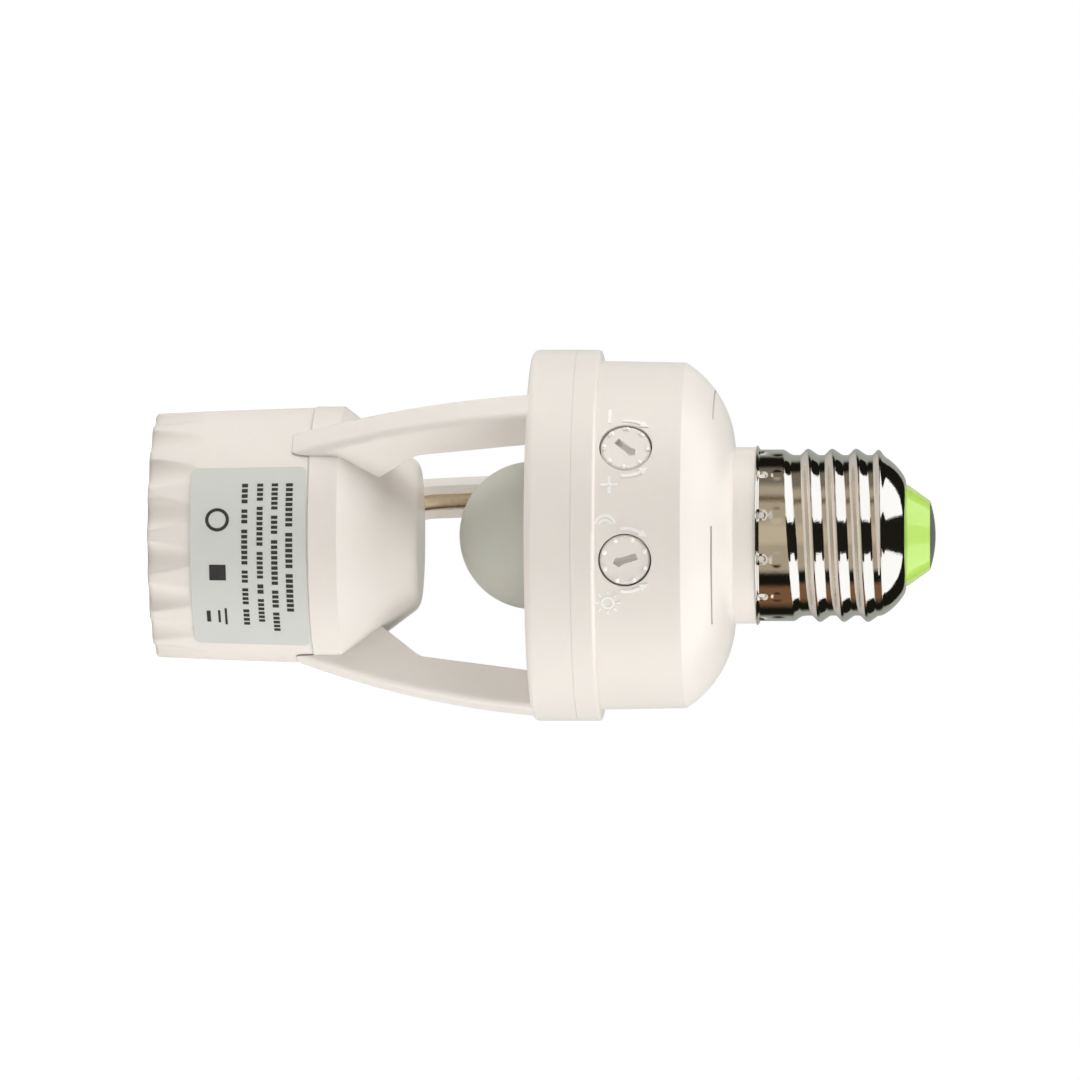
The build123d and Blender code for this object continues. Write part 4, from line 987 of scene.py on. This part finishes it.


# Painted highlight: the drum's plastic given a near white colour for the light the signs catch; its
# edge colour is a painted highlight too
sign_plastic_painted_highlight = finish("sign_plastic_painted_highlight", (0.99, 0.98, 0.965), (0.96, 0.94, 0.92), drift_amount=0.3,
                      drift_scale=200.0, roughness=0.26, grain=5200.0, bump=0.08,
                      edge_radius=0.0001, edge_colour=(1.0, 0.99, 0.98),
                      Subsurface_Weight=0.05, Subsurface_Scale=0.0005)
arrows = arrow_ring(98, 60) + arrow_ring(-98, -60)
minus = [bar(-2.5, 5.6, 0.5, 2.8)]
plus = [bar(-2.4, -6.2, 2.6, 0.45), bar(-2.4, -6.2, 0.45, 2.6)]
moon = [ring(1.45, STROKE, 10, 170, 24, (-2.9, 5.2)), ring(1.0, 0.34, 20, 160, 24, (-2.9, 5.0))]
sun = [ring(0.85, 0.36, 0, 360, 32, (SUN_X, SUN_Y))]
sun += [bar(SUN_X + RAY_REACH * cos(radians(a)), SUN_Y + RAY_REACH * sin(radians(a)), 0.6, 0.32, a)
        for a in range(0, 360, 45)]
time_signs, lux_signs = minus + plus + arrows, moon + sun + arrows
bend("time_signs", time_signs, on_drum(TIME_TURN, DIAL_Z, DRUM_RADIUS - SIGN_SINK), SIGN_HEIGHT,
     sign_plastic_painted_highlight, "holder")
bend("lux_signs", lux_signs, on_drum(LUX_TURN, DIAL_Z, DRUM_RADIUS - SIGN_SINK), SIGN_HEIGHT,
     sign_plastic_painted_highlight, "holder")

# %% [markdown]
# Eight small domes ring each dial. They turn with it, so they ride on the dial's own body. They
# wear the signs' near white colour, a painted highlight.

# %% Dots on the dials
DIAL_FACE = 26.0
DOT_COUNT, DOT_REACH = 8, 3.25
DOT_RADIUS, DOT_HEIGHT, DOT_SINK = 0.40, 0.26, 0.1


def dial_dots(name, dial, turn_here, pointer):
    """Domes on a dial's face, starting from its pointer, each sunk a little into the face."""
    outward = Vector((cos(radians(turn_here)), sin(radians(turn_here)), 0))
    upward = Vector((0, 0, 1))
    sideways = outward.cross(upward)
    dots = bmesh.new()
    for i in range(DOT_COUNT):
        spot = radians(pointer + 360.0 / DOT_COUNT * i)
        middle = outward * (DIAL_FACE - DOT_SINK) + Vector((0, 0, DIAL_Z)) + DOT_REACH * (
            cos(spot) * upward - sin(spot) * sideways)
        made = bmesh.ops.create_uvsphere(dots, u_segments=20, v_segments=12, radius=1.0)
        for vert in made["verts"]:
            local = vert.co.copy()
            vert.co = (middle + local.x * DOT_RADIUS * sideways + local.y * DOT_RADIUS * upward
                       + local.z * (DOT_HEIGHT + DOT_SINK) * outward) * MM
    mesh = bpy.data.meshes.new(name)
    dots.to_mesh(mesh)
    dots.free()
    mesh.polygons.foreach_set("use_smooth", [True] * len(mesh.polygons))
    mesh.materials.append(sign_plastic_painted_highlight)
    piece = bpy.data.objects.new(name, mesh)
    scene.collection.objects.link(piece)
    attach(piece, dial)
    print(name, len(mesh.polygons), "faces")


dial_dots("time_dots", "time_dial", TIME_TURN, -41.0)
dial_dots("lux_dots", "lux_dial", LUX_TURN, 201.0)
